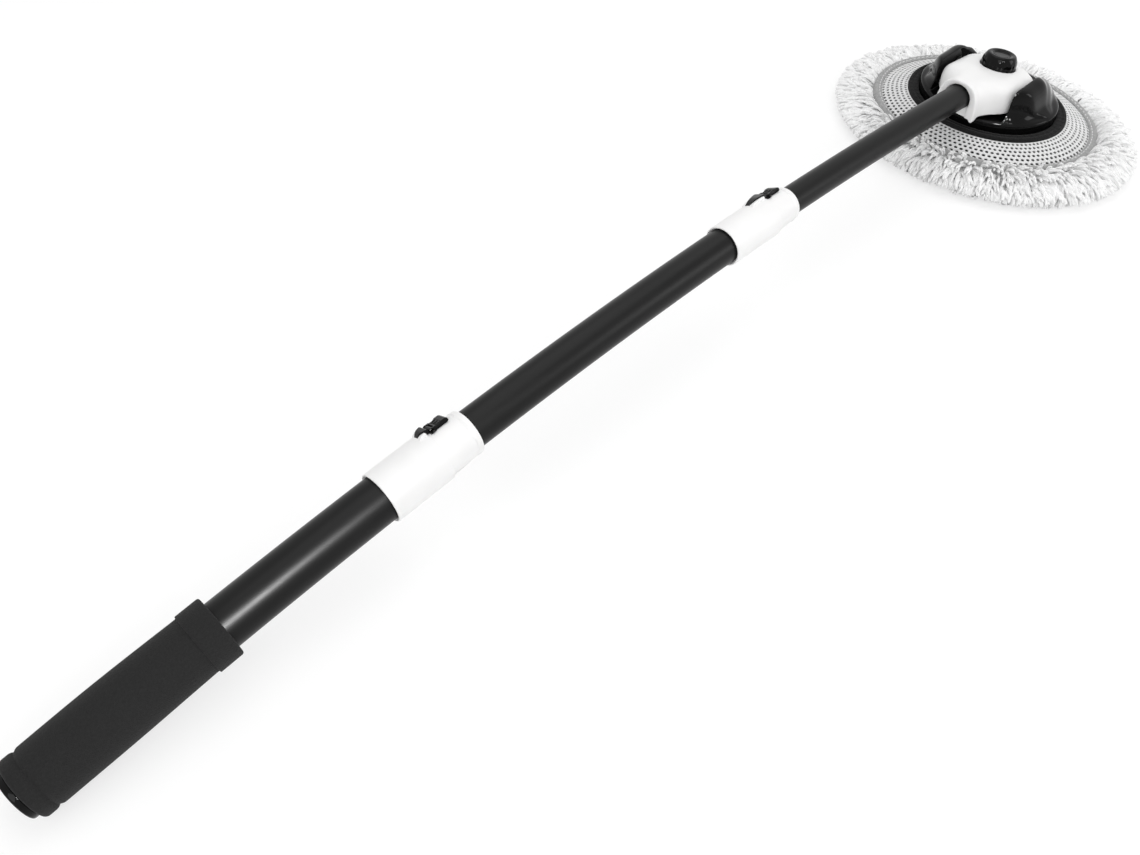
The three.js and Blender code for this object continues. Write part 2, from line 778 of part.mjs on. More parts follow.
// Button: a hollow dished cap on two legs that straddle the axle.
function buttonCap() {
  const dish = buttonTopRadius * buttonDishShare;
  const innerTop = buttonTop - buttonDishDepth - buttonWall;
  const shell = turnedOnZ([
    [0, buttonTop - buttonDishDepth],
    [dish / 2, buttonTop - buttonDishDepth * buttonDishShare],
    [dish, buttonTop],
    [buttonTopRadius - buttonEdgeRound / 2, buttonTop],
    [buttonTopRadius, buttonTop - buttonEdgeRound / 2],
    [span(buttonTopRadius, buttonRadius, 1 / 2), span(buttonTop, buttonSkirt, 1 / 3)],
    [buttonRadius, span(buttonTop, buttonSkirt, 1 / 2)],
    [buttonRadius, buttonSkirt],
    [buttonRadius - buttonWall, buttonSkirt],
    [buttonRadius - buttonWall, span(buttonTop, buttonSkirt, 1 / 2)],
    [buttonTopRadius - buttonWall, innerTop],
    [0, innerTop],
  ], 1, collarSides);
  const bottom = -drumRadius - clearance;
  const legs = [1, -1].map((side) => legBox(side, 0, bottom, innerTop + buttonWall / 2));
  return join(shell, ...legs);
}

function brakeBar() {
  const top = -drumRadius - 2 * clearance;
  const half = drumInner + drumWidth + barOverhang;
  return box(-barWidth / 2, barWidth / 2, -half, half, top - barHeight, top);
}

class Helix extends THREE.Curve {
  constructor(radius, bottom, top, turns) {
    super();
    Object.assign(this, { radius, bottom, top, turns });
  }
  getPoint(t) {
    const angle = 2 * Math.PI * this.turns * t;
    const height = span(this.bottom, this.top, t);
    return new THREE.Vector3(this.radius * Math.cos(angle), this.radius * Math.sin(angle), height);
  }
}

function buttonSpring() {
  const bottom = pocketFloorTop + springWireRadius + clearance;
  const top = buttonTop - buttonDishDepth - buttonWall - springWireRadius - clearance;
  const wire = new THREE.Shape();
  wire.absarc(0, 0, springWireRadius, 0, 2 * Math.PI);
  const coilRadius = buttonTopRadius - buttonWall - springInset;
  const extrudePath = new Helix(coilRadius, bottom, top, springTurns);
  const steps = springTurns * springStepsPerTurn;
  const shape = new THREE.Shape(wire.getSpacedPoints(springWireSides).slice(0, springWireSides));
  return solidOf(new THREE.ExtrudeGeometry(shape, { steps, extrudePath, bevelEnabled: false }));
}

named("push_button", geometryOf(buttonCap()), glossBlack, buttonGroup);
named("brake_bar", geometryOf(brakeBar()), mouldedBlack, buttonGroup);
named("button_spring", geometryOf(buttonSpring()), steel, buttonGroup);

// Axle, drums and washers
named("tilt_axle", geometryOf(rodOnY(axleRadius, -axleHalf, axleHalf)), steel, head);
for (const [suffix, side] of [["near", -1], ["far", 1]]) {
  const drumEnds = [side * drumInner, side * (drumInner + drumWidth)];
  const drum = cut(
    rodOnY(drumRadius, Math.min(...drumEnds), Math.max(...drumEnds), 0, 0, tubeSides),
    rodOnY(axleRadius + clearance, -earInner, earInner),
  );
  named("brake_drum_" + suffix, geometryOf(drum), steel, head);
  const washerStart = bracketHalfWidth + (bracketSidePlay - washerThickness) / 2;
  const washerEnds = [side * washerStart, side * (washerStart + washerThickness)];
  const washer = cut(
    rodOnY(washerRadius, Math.min(...washerEnds), Math.max(...washerEnds)),
    rodOnY(axleRadius + clearance, -axleHalf, axleHalf),
  );
  named("thrust_washer_" + suffix, geometryOf(washer), mouldedBlack, head);
  const saddleEnds = [side * (earInner + clearance), side * (axleHalf - clearance)];
  const saddle = cut(
    box(-saddleWidth / 2, saddleWidth / 2, Math.min(...saddleEnds), Math.max(...saddleEnds),
      plateTop + clearance - pivotHeight, 0),
    rodOnY(axleRadius + clearance, -axleHalf, axleHalf),
  );
  named("axle_saddle_" + suffix, geometryOf(saddle), mouldedBlack, head);
}

// Pivot housing, in the head's frame.
// An ear's side outline from its toe, over the crest, to its heel: [along, height], each a share.
const earOutlineShares = [
  [-1, 0],
  [-0.89, 0.2],
  [-0.85, 0.39],
  [-0.84, 0.7],
  [-0.78, 0.92],
  [-0.68, 1],
  [0.08, 1],
  [0.3, 0.84],
  [0.53, 0.67],
  [0.69, 0.49],
  [0.92, 0.2],
  [1, 0],
];
// How an ear falls away outwards: [outward, height], each a share.
const earFallShares = [
  [0, 1],
  [0.27, 0.985],
  [0.36, 0.93],
  [0.45, 0.8],
  [0.53, 0.6],
  [0.58, 0.4],
  [0.64, 0.29],
  [0.72, 0.23],
  [0.86, 0.14],
  [0.96, 0.05],
];

function ear(side) {
  const base = tierTop - pivotHeight - tierRound;
  const reach = tierSemi * earBaseShare;
  const rings = earFallShares.map(([outShare, heightShare]) => {
    const y = span(earInner, reach, outShare);
    const half = reach * padAspectShare * Math.sqrt(1 - (y / tierSemi) ** 2);
    return earOutlineShares.map(([alongShare, upShare]) => new THREE.Vector3(
      alongShare * half,
      side * y,
      base + upShare * heightShare * earHeight + tierRound * (upShare > 0 ? 1 : 0),
    ));
  });
  return loft(rings);
}

function housingScrewPlaces() {
  const places = [];
  for (const x of [-housingScrewX, housingScrewX]) {
    for (const y of [-housingScrewY, housingScrewY]) places.push([x, y]);
  }
  return places;
}

const swing = rodOnY(swingRadius, -earInner, earInner, 0, 0, swingSides);

function pivotHousing() {
  const bottom = plateTop + clearance - pivotHeight;
  const top = tierTop - pivotHeight;
  const tier = turnedOnZ([
    [0, bottom],
    [tierSemi, bottom],
    [tierSemi, top - tierRound],
    [tierSemi - tierRound / 2, top - tierRound / 3],
    [tierSemi - tierRound, top],
    [0, top],
  ]);
  const slots = [1, -1].map((side) => {
    const ends = [side * (earInner - overrun), side * (axleHalf + clearance)];
    const [low, high] = [Math.min(...ends), Math.max(...ends)];
    const half = saddleWidth / 2 + clearance;
    return join(box(-half, half, low, high, bottom - overrun, 0), rodOnY(half, low, high));
  });
  const holes = housingScrewPlaces().map(([x, y]) =>
    rodOnZ(screwShankRadius + clearance, bottom - overrun, bottom + screwReach - screwHeadHeight, x, y));
  return cut(join(tier, ear(1), ear(-1)), swing, ...slots, ...holes);
}

named("pivot_housing", geometryOf(pivotHousing()), glossBlack, head);

// Pad: its group's origin is the centre of the sole, on the floor.
const pad = new THREE.Group();
object.add(pad);

function basePlate() {
  const rimTop = plateBottom + plateRim;
  const plate = turnedOnZ([
    [0, plateBottom],
    [plateCoreSemi, plateBottom],
    [plateCoreSemi, plateTop - plateWall],
    [plateFlatSemi - plateWall, plateTop - plateWall],
    [plateSemi - plateWall, plateBottom],
    [plateSemi, plateBottom],
    [plateSemi, rimTop],
    [plateFlatSemi + plateWall, plateTop - plateRim],
    [plateFlatSemi, plateTop],
    [0, plateTop],
  ]);
  const trough = swing.translate([0, 0, pivotHeight]);
  const holes = housingScrewPlaces().map(([x, y]) =>
    rodOnZ(screwShankRadius + clearance, plateBottom - overrun, plateTop + overrun, x, y));
  const counterbores = housingScrewPlaces().map(([x, y]) =>
    rodOnZ(screwHeadRadius + clearance, plateBottom - overrun, plateTop - plateWall, x, y));
  return cut(plate, trough, ...holes, ...counterbores);
}

function housingScrew([x, y]) {
  const seat = plateTop - plateWall - clearance;
  const tip = seat + screwReach - screwHeadHeight;
  return join(
    rodOnZ(screwHeadRadius, seat - screwHeadHeight, seat, x, y),
    rodOnZ(screwShankRadius, seat - screwHeadHeight / 2, tip, x, y, smallSides / 2),
  );
}

function elasticHem() {
  const inner = tierSemi + hemInnerGap;
  const outer = inner + hemWidth;
  const bottom = plateTop + clearance;
  const top = bottom + hemHeight;
  return turnedOnZ([
    [inner, bottom],
    [outer, bottom],
    [outer, top - hemRound],
    [outer - hemRound, top],
    [inner + hemRound, top],
    [inner, top - hemRound],
    [inner, bottom],
  ]);
}

// The mesh lies on the plate and falls from the hem to the binding.
function meshCover() {
  const outer = bindingInner - clearance;
  const slopeStart = plateFlatSemi + plateWall;
  const above = (radius) => {
    const share = (radius - slopeStart) / (plateSemi - slopeStart);
    return span(plateTop - plateRim, plateBottom + plateRim, share) + clearance;
  };
  const middle = span(meshInner, outer, 1 / 3);
  return turnedOnZ([
    [meshInner, above(meshInner)],
    [outer, above(outer)],
    [outer, above(outer) + meshThickness],
    [middle, above(middle) + meshThickness + meshBulge],
    [meshInner, above(meshInner) + meshThickness],
    [meshInner, above(meshInner)],
  ]);
}

function bindingRing() {
  const bottom = bandTop + clearance;
  const top = bottom + bindingHeight;
  const outer = padSemi - clearance;
  return turnedOnZ([
    [bindingInner, bottom],
    [outer, bottom],
    [outer, top - bindingRound * 2],
    [outer - bindingRound, top - bindingRound / 2],
    [span(bindingInner, outer, 1 / 2), top],
    [bindingInner, top - bindingRound / 2],
    [bindingInner, bottom],
  ]);
}

function solePile() {
  return turnedOnZ([
    [0, 0],
    [soleSemi - soleEdge, 0],
    [soleSemi, soleEdge],
    [soleSemi, soleHeight],
    [0, soleHeight],
  ]);
}

function padCore() {
  return turnedOnZ([
    [0, coreBottom],
    [soleSemi, coreBottom],
    [soleSemi, coreTop],
    [0, coreTop],
  ]);
}

// One strand: a tapering three-sided rod through its points.
function strand(points) {
  const rings = points.map((p, i) => {
    const before = points[Math.max(0, i - 1)];
    const after = points[Math.min(points.length - 1, i + 1)];
    const along = after.clone().sub(before).normalize();
    const sideways = new THREE.Vector3(-along.y, along.x, 0).normalize();
    const upwards = along.clone().cross(sideways).negate();
    const radius = strandRadius * span(1, strandTipShare, i / (points.length - 1));
    return Array.from({ length: strandSides }, (_, k) => {
      const angle = (2 * Math.PI * k) / strandSides + Math.PI / 2;
      return p.clone()
        .addScaledVector(sideways, radius * Math.cos(angle))
        .addScaledVector(upwards, radius * Math.sin(angle));
    });
  });
  return loft(rings);
}

function strandPoints(angle, row) {
  const place = (outShare, height) => new THREE.Vector3(
    span(padSemi * padAspectShare, fringeSemiX, outShare) * Math.cos(angle),
    span(padSemi, fringeSemiY, outShare) * Math.sin(angle),
    height,
  );
  const root = place(-strandRootDepth / (fringeSemiY - padSemi), bandTop - bandHeight * (1 - row.root));
  return [root, ...row.bends.map(({ out, up }) => place(out, up * bandTop))];
}

function fringeQuarter(quarter) {
  const band = turnedOnZ([
    [padSemi - bandWidth, bandTop - bandHeight],
    [padSemi, bandTop - bandHeight],
    [padSemi, bandTop],
    [padSemi - bandWidth, bandTop],
    [padSemi - bandWidth, bandTop - bandHeight],
  ]);
  const middleAngle = ((quarter + 1 / 2) / fringeQuarters) * 2 * Math.PI;
  const signX = Math.sign(Math.cos(middleAngle));
  const signY = Math.sign(Math.sin(middleAngle));
  const half = clearance / 2;
  const farX = signX * (padSemi + overrun);
  const farY = signY * (padSemi + overrun);
  const keep = box(
    Math.min(signX * half, farX),
    Math.max(signX * half, farX),
    Math.min(signY * half, farY),
    Math.max(signY * half, farY),
    -overrun,
    bandTop + overrun,
  );
  const strands = [];
  for (const row of fringeRowShares) {
    for (let i = 0; i < strandsPerQuarter; i++) {
      const angle = ((quarter + (i + row.shift) / strandsPerQuarter) / fringeQuarters) * 2 * Math.PI;
      strands.push(strand(strandPoints(angle, row)));
    }
  }
  return join(band.intersect(keep), ...strands);
}

named("base_plate", geometryOf(basePlate()), mouldedBlack, pad);
housingScrewPlaces().forEach((place, i) => {
  named("housing_screw_" + (i + 1), geometryOf(housingScrew(place)), steel, pad);
});
named("elastic_hem", geometryOf(elasticHem()), foamBlack, pad);
named("mesh_cover", geometryOf(meshCover()), meshGrey, pad);
named("binding_ring", geometryOf(bindingRing()), bindingGrey, pad);
named("pad_core", geometryOf(padCore()), foam, pad);
named("sole_pile", geometryOf(solePile()), chenille, pad);
for (let quarter = 0; quarter < fringeQuarters; quarter++) {
  named("fringe_" + (quarter + 1), geometryOf(fringeQuarter(quarter)), chenille, pad);
}

export default object;
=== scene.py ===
import json
import math
from itertools import product

import bmesh
import bpy
import numpy as np
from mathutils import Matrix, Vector


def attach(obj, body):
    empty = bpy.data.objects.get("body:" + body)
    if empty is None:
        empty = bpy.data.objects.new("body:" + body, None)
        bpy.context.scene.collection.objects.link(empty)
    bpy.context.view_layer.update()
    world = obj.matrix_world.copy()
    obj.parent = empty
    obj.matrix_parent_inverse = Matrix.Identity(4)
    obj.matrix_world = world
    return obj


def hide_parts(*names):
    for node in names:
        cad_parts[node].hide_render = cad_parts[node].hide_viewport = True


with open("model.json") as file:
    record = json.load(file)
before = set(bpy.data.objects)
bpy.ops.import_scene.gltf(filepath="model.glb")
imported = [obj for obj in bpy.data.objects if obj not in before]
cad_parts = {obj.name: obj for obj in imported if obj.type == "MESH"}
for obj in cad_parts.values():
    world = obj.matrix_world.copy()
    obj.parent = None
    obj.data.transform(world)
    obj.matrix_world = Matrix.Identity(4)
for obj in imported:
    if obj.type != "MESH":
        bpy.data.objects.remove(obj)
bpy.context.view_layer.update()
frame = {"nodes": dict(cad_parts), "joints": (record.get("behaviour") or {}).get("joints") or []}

RANDOM = np.random.default_rng(20)
TAU = math.tau

# Lengths are in millimetres, as in the part's source, and become metres where a mesh is made.
MM = 0.001

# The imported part's own places
JOINTS = {joint["name"]: joint for joint in frame["joints"]}
BOW_CENTRE = [place / MM for place in JOINTS["middle_slide"]["pos_m"]]
PIVOT_HEIGHT = JOINTS["head_tilt"]["pos_m"][2] / MM

# Facets
TURN_SIDES = 96
FINE_SIDES, HEM_SIDES, BINDING_SIDES = 288, 720, 480
EASE_STEPS, HEM_STEPS, FINE_STEPS, GRIP_STEPS = 4, 5, 6, 8
BEND_STEP = 15
MERGE = 1e-4
SHARP_ANGLE = math.radians(32)
SMOOTH_FACTOR = 0.5

# Room between parts, and how far a cut reaches past what it cuts
CLEARANCE = 0.3
OVERRUN = 2

# Pole
BOW_RADIUS = 3110
SOCKET_X = -55.8
FRONT_TUBE, MIDDLE_TUBE, OUTER_TUBE = 10.15, 12.35, 14.4
TUBE_WALL = 1
TUBE_END_ROUND = 0.3
UPPER_SEAM, LOWER_SEAM = 245, 540
SEAM_ROOM = 1
TUBE_OVERLAP = 24
GRIP_START, GRIP_END = 688, 805
TUBE_IN_BRACKET = 34

# Grip
GRIP_BORE = 14.7
GRIP_RADIUS, GRIP_SWELL, GRIP_BEAD, GRIP_COLLAR = 17.6, 0.8, 18, 18.8
GRIP_COLLAR_LENGTH, GRIP_BEAD_LENGTH = 15, 7
GRIP_GROOVE, BEAD_SLOPE, GRIP_OVERHANG = 2, 1.5, 1.4
CAP_RADIUS, CAP_THICKNESS, CAP_STAND = 14.6, 3.6, 1.9
CAP_PLUG, CAP_PLUG_LENGTH, CAP_PLUG_WALL = 13.1, 12, 2
CAP_DISH, CAP_RING = 0.9, 8
# A ring in the cap's face: share of the dish's depth, in from the rim, rounding
CAP_GROOVE = [(0, 3.4, 0.3), (0.5, 3, 0.2), (0.5, 2.4, 0.2), (0, 2, 0.3)]

# Clamp collars
COLLAR_WALL = 1.8
COLLAR_CHAMFER = 1.1
NOSE_STEP = 1.2
NOSE_TAPER = 16
MOUTH_WALL = 1.9
RIM_LENGTH, RIM_RISE, RIM_STEP, LIP_LENGTH = 4, 0.35, 0.3, 4.5
LIP_CHAMFER = 0.7 * COLLAR_CHAMFER
BUSH_ROOM, TUBE_ROOM = 1.3, 1
SLIT_WIDTH, SLIT_INSET, SLIT_TURN = 1.2, 1.2, math.radians(-35)
BOSS_WIDTH, BOSS_RISE, BOSS_INSET = 10, 1.3, 0.5
HUMP_SLOPE_SHARE, HUMP_ROUND_SHARE = 0.45, 0.3
FOOT_WIDTH, FOOT_END_WIDTH, FOOT_RISE, FOOT_FRONT = 9.5, 4.5, 2.3, 1.5
FOOT_VOXEL, FOOT_ROUNDS = 0.25, 4
# Carrier tube, sliding tube and seam, then the lengths of the body, nose, lever's foot and slit
LOWER_COLLAR = (OUTER_TUBE, MIDDLE_TUBE, LOWER_SEAM, 41, 24, 5, 8)
UPPER_COLLAR = (MIDDLE_TUBE, FRONT_TUBE, UPPER_SEAM, 46, 22, 13, 2.6)

# Levers
LEVER_TURN = math.radians(-30)
PIVOT_INSET = 4
LOBE_RADIUS, LOBE_WIDTH = 1.9, 1.5
LUG_WIDTH, LUG_REACH, LUG_SINK, LUG_BACK, LUG_PLAY = 6, 1.7, 1, 1, 0.1
LEVER_REACH, LEVER_WIDTH, LEVER_THICKNESS, LEVER_DROP = 11.5, 9.5, 2.2, 0.9
PIN_RADIUS = 0.8
SHOE_THICKNESS = 0.8
RIDGE_PITCH, RIDGE_WIDTH, RIDGE_RISE, RIDGE_SINK = 3, 1, 0.55, 0.5
RIDGE_START, RIDGE_END = 1.5, 3.4
BRIDGE_RISE, CHEEK_RISE = 0.3, 0.5
LEVER_TOE, LEVER_HEEL = (1, 0.9), (2, 0.4)
LEVER_LIP = [(0.3, 0.2), (1.4, 0.8), (4.4, 0.8), (6, 0)]  # back from the tip, above the arm
LEVER_VOXEL, LEVER_ROUNDS = 0.22, 5

# Bracket
BRACKET_FRONT, BRACKET_REAR = 57, 19.5
EAR_INNER, WASHER_ROOM = 34, 1.3
BRACKET_HALF = EAR_INNER - WASHER_ROOM
SOCKET_BORE = FRONT_TUBE + CLEARANCE
NECK_SIDE, NECK_CROWN, NECK_FLOOR = 6.55, 2.85, 3.75
NECK_HALF = SOCKET_BORE + NECK_SIDE
NECK_ROUNDNESS, HUB_ROUNDNESS = 0.72, 0.5
BRACKET_WALL = 2.3
BRACKET_UNDERSIDE, UNDER_RISE = 8, 2.6
RISE_START, RISE_SHARE = 0.2, 0.45
BRACKET_TOP = 2 * SOCKET_BORE + NECK_CROWN + NECK_FLOOR - BRACKET_UNDERSIDE
BRACKET_REAR_TOP = 8
HOLLOW_START = 30
HUB_RADIUS, HUB_LENGTH = 6, 2.6
KEEPER_TOP = FRONT_TUBE / 2
THROAT_FRONT, THROAT_BACK, THROAT_RISE = 2.2, 4, 2.6
LIP_RISE, LIP_EDGE_RISE, LIP_SLOPE = 0.9, 0.54, 0.8
LIP_RISES = [(0, LIP_EDGE_RISE), (0.01, LIP_RISE), (0.05, LIP_RISE), (0.062, -0.2)]  # share of length, rise
TOOTH_ROOT, TOOTH_TIP = (13, 5.5, 3), (5, 2, -1.8)  # length, width, above the underside
ARCH_POINTS = 48
BRACKET_SECTIONS = 64
BRACKET_VOXEL, BRACKET_ROUNDS = 0.62, 4

# Push button
BUTTON_TILT = math.radians(9.5)
BUTTON_RADIUS, BUTTON_TOP_RADIUS, BUTTON_TOP, BUTTON_TRAVEL = 14.2, 11.45, 21.2, 3.5
BUTTON_WALL, BUTTON_DISH, BUTTON_ROOM = 2, 1.5, 0.7
# Steps of the button's dished top: radius, depth, rounding
BUTTON_RINGS = [(6.5, BUTTON_DISH, 1.2), (7.1, 0.55, 0.5), (8.2, 0.35, 0.5), (8.9, 0, 0.6)]
SHOULDER_RADIUS, SHOULDER_DROP = 13.4, 3.4
SCALLOPS, SCALLOP_START, SCALLOP_LENGTH, SCALLOP_DEPTH, SCALLOP_POWER = 16, 2, 4, 0.035, 6
POCKET_FLOOR, POCKET_GAP, CUP_WALL, CUP_FLOOR = 4.8, 0.5, 1.15, 1.4
BUTTON_SKIRT = POCKET_FLOOR + BUTTON_TRAVEL + BUTTON_ROOM
AXLE_RADIUS = 3
LEG_OFFSET, LEG_THICKNESS, LEG_WIDTH = 5, 3, 7
LEG_BOTTOM = -6.5

# Pivot housing
SWING_RADIUS = math.hypot(BUTTON_TOP_RADIUS, BUTTON_TOP) + BUTTON_ROOM
TIER_SEMI, TIER_ROUND, TIER_ROOM = 58.6, 2, 2.5
TIER_TOP = -BRACKET_UNDERSIDE - TIER_ROOM
PLATE_TOP = 25.9
EAR_HEIGHT, EAR_BASE_SHARE = 24.5, 0.97
EAR_ROUNDNESS, EAR_POWER, EAR_BLEND, FOOT_BLEND = 0.6, 1.5, 3, 12
EAR_POINTS, EAR_SECTIONS = 90, 40
SADDLE_HALF, SADDLE_DEPTH = 3.3, 8.5
HOUSING_VOXEL, HOUSING_ROUNDS = 0.6, 6

# Pad
ASPECT = 0.82
PAD_SEMI = 97
SOLE_SEMI, SOLE_HEIGHT, SOLE_FACE, SOLE_EDGE, SOLE_ROUND = 89.5, 9, 5.6, 7, 3
CORE_LOW, CORE_TOP, CORE_BULGE = 9.3, 14.9, 0.3
MESH_INNER, MESH_OUTER = 67.9, 89.9
MESH_LOW, MESH_HIGH, MESH_BULGE = 18.1, 26.3, 0.6
MESH_COLUMNS, MESH_ROWS = 114, 6
MESH_THICKNESS = 0.9
HOLE_HALF_WIDTH, HOLE_HALF_HEIGHT = 0.34, 0.32
THREAD_RISE = 0.22
STITCHES, STITCH_SEMI, STITCH_LENGTH, STITCH_RADIUS = 118, 91.6, 2.7, 0.38
STITCH_SINK, STITCH_DIP = 0.1, 2.4
# A stitch: share of its length, share of its thickness
STITCH_SHAPE = [(-0.5, 0.3), (-0.45, 0.75), (-0.3, 1), (0, 1), (0.3, 1), (0.45, 0.75), (0.5, 0.3)]
BINDING_TOP = 20.4
# A band's foot is its height and rounding. Its ribs are semi-axis, height and rounding, from outside in.
HEM_FOOT, BINDING_FOOT = (26.2, 0.4), (15.2, 0.5)
HEM_RIBS = [(67.6, 29.4, 1.3), (65, 29.6, 0.5), (63.6, 29.05, 0.6), (62.2, 29.6, 0.5), (59.2, 29.4, 1.3)]
BINDING_RIBS = [(96.8, 18.8, 2), (93.8, BINDING_TOP, 1.6), (STITCH_SEMI, 20, 0.7), (89.4, 19.9, 1.2)]
HEM_PUCKER, BINDING_PUCKER = (170, 0.14, 1.3), (62, 0.16, 2.1)
SLOW_WAVES, SLOW_HEIGHT = 0.37, 0.4

# Chenille: out is 0 at the pad's edge and 1 at the fringe's
FRINGE_X, FRINGE_Y = 110, 131
SKIRT_SIDES, SKIRT_STEPS = 180, 9
SKIRT_START, SKIRT_REACH, SKIRT_THICKNESS = -0.02, 0.8, 1.2
SKIRT_TOP, SKIRT_HUMP, NEAR_LIFT = 15.2, 1.6, 1.6
SKIRT_FALL, FALL_END, FALL_POWER = 9.2, 1.2, 1.25
BAND_FOOT, BAND_LENGTH, BAND_INNER = 3.4, 13, (0.985, 0.985, 1)
TOP_FINGERS, RIM_FINGERS, UNDER_FINGERS = 3300, 620, 900
FINGER_LENGTH, SHORTEST_FINGER, FINGER_RADIUS = 13, 7.5, 1.05
FINGER_SIDES = 6
FINGER_SHAPE = [0.85, 1, 0.96, 1.03, 0.97, 1.02, 0.92, 0.5]
LENGTH_SPREAD, RADIUS_SPREAD = (0.8, 1.12), (0.85, 1.12)
EDGE_SHARE = 1.04
SHORT_ANGLE, SHORT_SHARE = math.radians(160), 0.15
NEAR_ANGLE, NEAR_STEEPNESS, NEAR_LEVEL = math.radians(226), 1.5, 0.35
TOP_OUT, UNDER_OUT = (-0.03, SKIRT_REACH), (0, 0.72)
RIM_OUT = (SKIRT_REACH - 0.08, SKIRT_REACH + 0.02)
RIM_TILT, UNDER_TILT = (-1.3, -0.25), (-0.9, -0.4)
TOP_TILT, TOP_TILT_FALL = 0.42, 0.3
STANDING_REACH, FAR_STANDING, NEAR_STANDING = 0.3, 0.25, 0.75
CLUMPS = [(0.6, 23, 6, 0), (0.5, 61, -11, 1.3)]  # height, waves round, waves outwards, start
CLUMP_LEAN, LEAN_SPREAD, VEER_SPREAD, VEER_FADE = 0.55, 0.2, 0.2, 0.3
TILT_WAVE, TILT_ROUND, TILT_OUTWARDS, TILT_SPREAD = 0.14, 37, 17, 0.12
DROOP, DROOP_POWER = 0.95, 1.3
CURL_WIDTH, CURL_TURNS = 0.35, (3, 7)
FLOOR_GAP, FLOOR_SPREAD = 1.3, 0.25

# Underside
SOLE_FINGERS, SOLE_FINGER_RADIUS, SOLE_FINGER_LENGTH = 1200, 1.5, 10
SOLE_SHAPE = [0.9, 1.05, 0.92, 1.04, 0.85, 0.45]
SOLE_SHARE, SOLE_ROOT = 0.985, 5.4
SOLE_SWIRL, SWIRL_X, SWIRL_Y, SWIRL_SPREAD = 2.2, 17, 19, 0.5
SOLE_LENGTHS, SOLE_DEPTHS = (0.7, 1.1), (0.7, 1)
EDGE_ROOM, EDGE_FADE, EDGE_SHORTEST = 4, 12, 0.35
SOLE_DEPTH, SOLE_ARCH = 3.7, 0.62

# Rods with rounded ends: their sides start across this direction, which none of them follows
NEARLY_UP = (0.31, 0.17, 1)
TINY = 1e-9

# Stage, with its places in metres
AMBIENT = 0.62
FLOOR_HALF, FLOOR_GLOW, FLOOR_GLOW_SHARE = 14, 1.12, 0.6
CAMERA_PLACE = (-0.82135, -0.34388, 0.53067)
CAMERA_TURN = (math.radians(90 - 48.302), 0, math.radians(-44.075))
SENSOR_WIDTH, LENS, CLIP_START, CLIP_END = 36, 34.434, 0.01, 50


# Forms: a form is an array of points and a list of faces
def around(count):
    """Evenly spaced angles of a full turn."""
    return np.arange(count) * TAU / count


def grid_faces(rows, sides, closed):
    faces = []
    for row in range(rows if closed else rows - 1):
        below, above = row * sides, (row + 1) % rows * sides
        for side in range(sides):
            after = (side + 1) % sides
            faces.append((below + side, below + after, above + after, above + side))
    return faces


def eased(corners, steps=EASE_STEPS):
    """Rounds the corners of a closed profile. A corner is two places, and how far its rounding reaches."""
    points = []
    for index, corner in enumerate(corners):
        here = Vector(corner[:2])
        if len(corner) == 2:
            points.append(here)
            continue
        before, after = Vector(corners[index - 1][:2]), Vector(corners[(index + 1) % len(corners)][:2])
        start = here + (before - here).normalized() * corner[2]
        end = here + (after - here).normalized() * corner[2]
        for share in np.linspace(0, 1, steps + 1):
            points.append(start * (1 - share) ** 2 + here * 2 * share * (1 - share) + end * share**2)
    return [tuple(point) for point in points]


def ringed(radius, sides):
    """The places across and over an axis of the points of a ring for each radius."""
    angles = around(sides)
    return np.outer(radius, np.cos(angles)).ravel(), np.outer(radius, np.sin(angles)).ravel()


def turned_on_x(profile):
    """A closed profile of (along, radius) turned round X, its long straight lines in short steps."""
    points = []
    for index, (along, radius) in enumerate(profile):
        next_along, next_radius = profile[(index + 1) % len(profile)]
        steps = max(1, math.ceil(abs(next_along - along) / BEND_STEP))
        for share in np.arange(steps) / steps:
            points.append((along + (next_along - along) * share, radius + (next_radius - radius) * share))
    along, radius = np.array(points).T
    across, over = ringed(radius, TURN_SIDES)
    rings = np.stack([np.repeat(along, TURN_SIDES), across, over], axis=1)
    return rings, grid_faces(len(points), TURN_SIDES, True)


def turned_on_z(profile, aspect=ASPECT, sides=FINE_SIDES):
    """A closed profile of (radius, height) turned round Z and narrowed along X."""
    radius, height = np.array(profile, float).T
    x, y = ringed(radius, sides)
    return np.stack([x * aspect, y, np.repeat(height, sides)], axis=1), grid_faces(len(profile), sides, True)


def skin_faces(count, sides):
    """Faces through rings of points, with a flat face on each end."""
    ends = [tuple(range(sides))[::-1], tuple(range((count - 1) * sides, count * sides))]
    return grid_faces(count, sides, False) + ends


def shifted(faces, first):
    return [tuple(first + point for point in face) for face in faces]


def lofted(rings):
    """A closed skin through rings of points."""
    rings = np.array(rings, float)
    return rings.reshape(-1, 3), skin_faces(*rings.shape[:2])


def block(x0, x1, y0, y1, z0, z1):
    x0, x1, y0, y1 = min(x0, x1), max(x0, x1), min(y0, y1), max(y0, y1)
    low = [(x0, y0, z0), (x1, y0, z0), (x1, y1, z0), (x0, y1, z0)]
    return lofted([low, [(x, y, z1) for x, y, _ in low]])


def circle(radius, x=0, y=0):
    return [(x + radius * math.cos(a), y + radius * math.sin(a)) for a in around(TURN_SIDES)]


def rod_on_y(radius, y0, y1, x=0, z=0):
    ring = circle(radius, x, z)
    return lofted([[(px, y, pz) for px, pz in ring] for y in sorted((y0, y1))])


def rod_on_z(radius, z0, z1):
    return lofted([[(*point, z) for point in circle(radius)] for z in (z0, z1)])


def extruded(outline, half):
    """An outline of (x, z) points as a bar from -half to half across Y."""
    return lofted([[(x, y, z) for x, z in outline] for y in (-half, half)])


